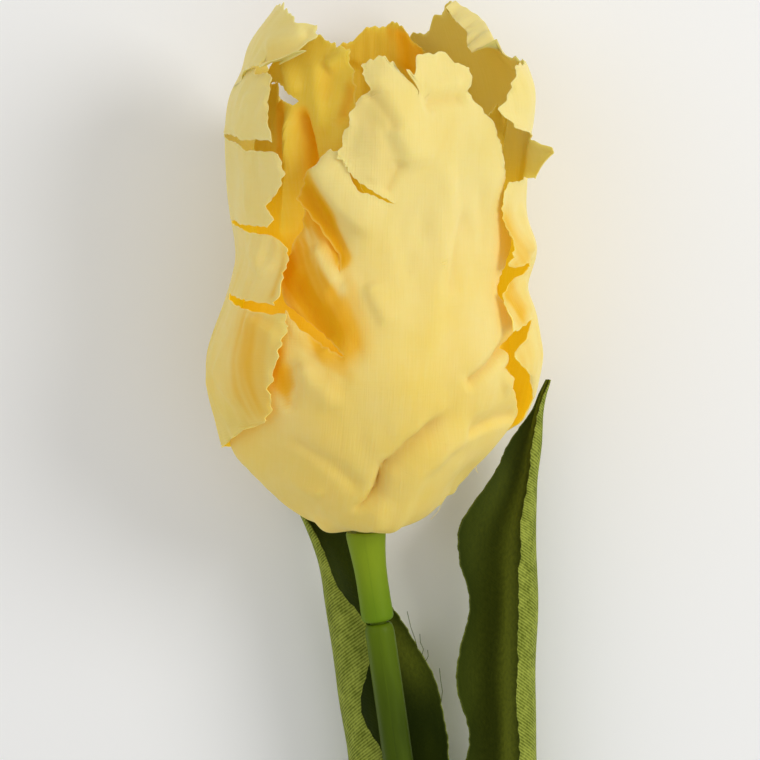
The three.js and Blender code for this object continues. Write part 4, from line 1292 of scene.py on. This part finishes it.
# The amber colours, partly dyeing and partly painted shade and painted light soaked through the
# cloth, the painted shade of creases, the painted shade of the inner face far down in the bloom's
# closed part, the painted glow of light soaked through, no glow, the yarn's lighter slubs with a
# painted highlight on raised threads, and its frayed rim.
AMBER = (0.86, 0.5, 0.04, 1)
DEEP_AMBER = (0.79, 0.41, 0.004, 1)
CREASE = (0.6, 0.42, 0.11, 1)
DEEP_INSIDE_SHADE = (0.64, 0.48, 0.04, 1)
SOAKED_LIGHT_GLOW = (1, 0.71, 0.01, 1)
UNLIT = (0, 0, 0, 1)
LIGHTER_SLUB_AND_HIGHLIGHT = (1, 0.93, 0.6, 1)
FRAYED_RIM = (1, 0.86, 0.45, 1)
# The bloom's closed part ends over these lengths of its profile, and over the others fades the
# painted shade and reflected light that turns its face more yellow low in the bloom.
CLOSED_TO = (60, 76)
LOW_SHADE_FADES = (12, 80)


def thread_lines(across, pitch):
    """The rise and fall of threads that lie one pitch apart."""
    return (across * (2 * math.pi / pitch)).sine()


# The pitches of the petals' threads and of the leaves' ribs, and the slant of the ribs.
PETAL_THREADS = 0.42
LEAF_RIBS = 0.44
RIB_SLANT = 36 * DEGREES
# The lighter green painted on the leaves' lit patches, the painted lit colour of the ribs on a leaf's
# back, and the colour of its rim.
LEAF_LIT_PATCH = (0.2, 0.235, 0.018, 1)
LIT_RIBS = (0.4, 0.46, 0.07, 1)
LEAF_RIM = (0.3, 0.36, 0.08, 1)


def petal_finish(name, face, low, inside, glow, soak):
    """Satin-woven petal cloth: fine upright threads, weaker cross threads, lighter slubs with a painted
    highlight on raised threads, and amber patches that are partly dyeing and partly painted shade and
    painted light soaked through the cloth; valleys get painted shade. Its face turns more yellow low in
    the bloom, painted shade and light reflected from the cloth around it, and its inner face is darker,
    painted shade, most of all in the bloom's closed part. Its painted glow stands for the daylight that
    soaks through the layers of the bloom: on the inner face, strongest in the bloom's closed lower part,
    and as much of it as soak on the outer."""
    finish = Finish(
        name, Roughness=0.62, Specular_IOR_Level=0.12, Subsurface_Weight=0.6,
        Subsurface_Scale=0.0008, Subsurface_Radius=(1.0, 0.8, 0.5), Emission_Strength=glow,
    )
    across, up, side = finish.note("weave")
    warmth, edge, _ = finish.note("tint_and_light")
    slubs = finish.noise(across * 3.2, up * 0.16)
    picks = finish.noise(across * 0.2, up * 3.0)
    clouds = finish.noise(across * 0.09, up * 0.07, side * 9, detail=3.0)
    upright = thread_lines(across, PETAL_THREADS)
    crossing = thread_lines(up, PETAL_THREADS)
    closed = 1 - up.between(*CLOSED_TO)
    # Painted shade and light reflected from the cloth: the face turns to the low colour lower in the
    # bloom, with random clouds.
    low_shade = 0.8 - 0.6 * up.between(*LOW_SHADE_FADES) + (clouds - 0.5) * 1.2
    colour = finish.blend(low_shade.between(0, 1), face, low)
    # The inner face gets painted shade: the inside colour, darker still in the bloom's closed part.
    shaded_inside = finish.blend(closed, inside, DEEP_INSIDE_SHADE)
    colour = finish.blend((1 - side) * 0.85, colour, shaded_inside)
    # Lighter slubs: the yarn's uneven tone with a painted highlight on raised threads.
    thread = slubs * 0.6 + picks * 0.25 + upright * 0.02
    colour = finish.blend((thread - 0.25).between(0, 0.6) * 0.12, colour, LIGHTER_SLUB_AND_HIGHLIGHT)
    # Painted shade in valleys and along the lines of negative warmth.
    colour = finish.blend((warmth * -1).between(0, 1) * 0.7, colour, CREASE)
    # Amber: partly dyeing and partly painted shade and painted light soaked through the cloth.
    uneven = warmth * (0.6 + clouds * 0.8)
    colour = finish.blend(uneven.between(0, 0.6), colour, AMBER)
    colour = finish.blend(uneven.between(0.35, 1.2), colour, DEEP_AMBER)
    rim = 1 - edge.between(0.02, 0.4)
    colour = finish.blend(rim * 0.12, colour, FRAYED_RIM)
    finish.give("Base Color", colour)
    # A painted glow of light soaked through the cloth, on the inner face and in the bloom's closed part.
    soaked = 1 - (1 - soak) * side
    soaked = soaked * (0.12 + 0.88 * closed) * (0.45 + clouds)
    finish.give("Emission Color", finish.blend(soaked, UNLIT, SOAKED_LIGHT_GLOW))
    finish.bumpy(slubs * 0.6 + picks * 0.3 + upright * 0.03 + crossing * 0.02, 0.00013, 0.7)
    finish.give("Roughness", 0.55 + slubs * 0.25)
    return finish.material


def leaf_finish(name, face, back, dark):
    """Ribbed leaf cloth: darker inside, with slanting ribs that catch the light on its back."""
    finish = Finish(name, Roughness=0.6, Specular_IOR_Level=0.1)
    across, up, side = finish.note("weave")
    lit_patch, edge, _ = finish.note("tint_and_light")
    slant = up * math.cos(RIB_SLANT) - across.size() * math.sin(RIB_SLANT)
    ribs = thread_lines(slant, LEAF_RIBS) * (1 - side * 0.85)
    mottle = finish.noise(across * 0.14, up * 0.05, detail=3.0)
    fleck = finish.noise(across * 2.2, up * 1.2)
    blotch = finish.noise(across * 0.5, up * 0.3, 5.0, detail=3.0)
    inner = finish.blend(mottle.between(0.35, 0.7), dark, face)
    # Lit patches: lighter colour painted on the inside where light falls.
    inner = finish.blend(lit_patch * (0.4 + fleck), inner, LEAF_LIT_PATCH)
    lit = ribs * 0.2 + fleck * 0.8 + blotch * 0.9 - 0.35
    outer = finish.blend(lit.between(0, 1), back, LIT_RIBS)
    colour = finish.blend(1 - side, inner, outer)
    colour = finish.blend((1 - edge.between(0.02, 0.25)) * 0.12, colour, LEAF_RIM)
    finish.give("Base Color", colour)
    finish.bumpy(ribs * 0.3 + fleck * (1.2 - side * 0.8), 0.0002, 0.8)
    finish.give("Roughness", 0.5 + fleck * 0.3)
    return finish.material


def plastic_finish(name, colour, cloud_and_shade, roughness, fade=(0, 0)):
    """Moulded plastic with cloudy colour and a faint grain along the stem. It turns darker towards the
    first height of the fade, if there is one: painted shade down the piece."""
    finish = Finish(name, Roughness=roughness, Specular_IOR_Level=0.1)
    around, up, _ = finish.note("along")
    cloud = finish.noise(around * 0.5, up * 0.05, detail=3.0)
    grain = finish.noise(around * 5, up * 0.5)
    full = cloud.between(0.3, 0.7)
    if fade[0] < fade[1]:
        full = full * 0.3 + up.between(*fade) * 0.7
    finish.give("Base Color", finish.blend(full, cloud_and_shade, colour))
    finish.bumpy(grain, 0.00006, 0.5)
    finish.give("Roughness", roughness - 0.05 + grain * 0.1)
    return finish.material


def dress(piece, material, node):
    piece.data.materials.append(material)
    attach(piece, "root")
    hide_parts(node)


ROOM_LIGHT = 0.52


def light_up():
    """A large soft key from the right, a broad fill from the left, a weak light over the front and
    a pale room. Each light has its name, place, aim, size, power and colour."""
    lights = [
        ("key", (0.5, 0.32, 0.5), (0, 0.15, 0.02), 0.35, 2.05, (1, 0.99, 0.97)),
        ("fill", (-0.6, 0.3, 0.75), (0, 0.12, 0.02), 0.9, 1.1, (0.97, 0.99, 1)),
        ("front", (0.1, -0.1, 1.0), (0, 0.12, 0.02), 0.7, 0.5, (1, 1, 1)),
    ]
    for name, place, aim, size, power, colour in lights:
        data = bpy.data.lights.new(name, "AREA")
        data.shape = "DISK"
        data.size = size
        data.energy = power
        data.color = colour
        lamp = add_object(name, data)
        lamp.location = place
        lamp.rotation_euler = (Vector(aim) - Vector(place)).to_track_quat("-Z", "Y").to_euler()
    world = bpy.data.worlds.new("pale room")
    world.use_nodes = True
    background = world.node_tree.nodes["Background"]
    background.inputs["Color"].default_value = (1, 1, 1, 1)
    background.inputs["Strength"].default_value = ROOM_LIGHT
    bpy.context.scene.world = world


FLOOR_HALF = 3


def lay_floor():
    mesh = bpy.data.meshes.new("floor")
    corners = [(x * FLOOR_HALF, y * FLOOR_HALF, 0) for x, y in ((-1, -1), (1, -1), (1, 1), (-1, 1))]
    mesh.from_pydata(corners, [], [(0, 1, 2, 3)])
    finish = Finish(
        "pale matt floor", Base_Color=(0.95, 0.95, 0.945, 1), Roughness=0.9, Specular_IOR_Level=0.1,
    )
    mesh.materials.append(finish.material)
    add_object("floor", mesh)


# The camera looks down on the bloom at the photograph's angle, with +Y up in the picture.
CAMERA_AIM = (0, 0.138, 0.022)
CAMERA_ELEVATION = 87.7
CAMERA_DISTANCE = 0.6
CAMERA_LENS = 177.6
CAMERA_SENSOR = 36


def set_camera():
    data = bpy.data.cameras.new("camera")
    data.lens = CAMERA_LENS
    data.sensor_width = CAMERA_SENSOR
    data.clip_start = 0.01
    camera = add_object("camera", data)
    rise = CAMERA_ELEVATION * DEGREES
    away = Vector((0, math.cos(rise), math.sin(rise)))
    camera.location = Vector(CAMERA_AIM) + away * CAMERA_DISTANCE
    camera.rotation_euler = (-(math.pi / 2 - rise), 0, 0)
    bpy.context.scene.camera = camera


# The outer cloth's low colour and darker inside are painted shade, and its inner face has a painted
# glow.
OUTER_CLOTH = petal_finish(
    "outer petal cloth", face=(0.92, 0.735, 0.28, 1), low=(0.88, 0.655, 0.145, 1),
    inside=(0.64, 0.575, 0.16, 1), glow=0.29, soak=0,
)
# The inner petals are the yellow cloth in painted shade, a deeper gold, with a painted glow on both
# faces.
INNER_CLOTH = petal_finish(
    "inner petal cloth", face=(0.8, 0.57, 0.06, 1), low=(0.74, 0.5, 0.03, 1),
    inside=(0.7, 0.52, 0.06, 1), glow=0.3, soak=0.6,
)
LEAF_CLOTH = leaf_finish(
    "leaf cloth", face=(0.036, 0.052, 0.002, 1), back=(0.1, 0.13, 0.005, 1),
    dark=(0.018, 0.03, 0.001, 1),
)
# The socket and the stem turn darker downwards: painted shade.
SOCKET_PLASTIC = plastic_finish(
    "socket plastic", (0.23, 0.32, 0.012, 1), (0.11, 0.21, 0.004, 1), 0.45, fade=(-15, -3),
)
STEM_PLASTIC = plastic_finish(
    "stem plastic", (0.103, 0.163, 0.003, 1), (0.034, 0.058, 0.0002, 1), 0.4, fade=(-36, -15),
)
HEART_PLASTIC = plastic_finish("flower heart", (0.52, 0.5, 0.09, 1), (0.4, 0.4, 0.06, 1), 0.5)

bpy.context.scene.view_settings.view_transform = "Standard"
set_camera()
lay_floor()
light_up()
for node, spec in PETALS.items():
    whorl, cloth = ("inner", INNER_CLOTH) if "inner" in spec else ("outer", OUTER_CLOTH)
    dress(make_petal(f"{node}_cloth", spec), cloth, node)
for node, leaf in LEAVES.items():
    dress(make_leaf(f"{node}_cloth", leaf), LEAF_CLOTH, node)
dress(make_socket(), SOCKET_PLASTIC, "stem_socket")
dress(make_stem(), STEM_PLASTIC, "stem")
dress(make_pistil(), HEART_PLASTIC, "pistil")
dress(make_stamens(), HEART_PLASTIC, "stamens")
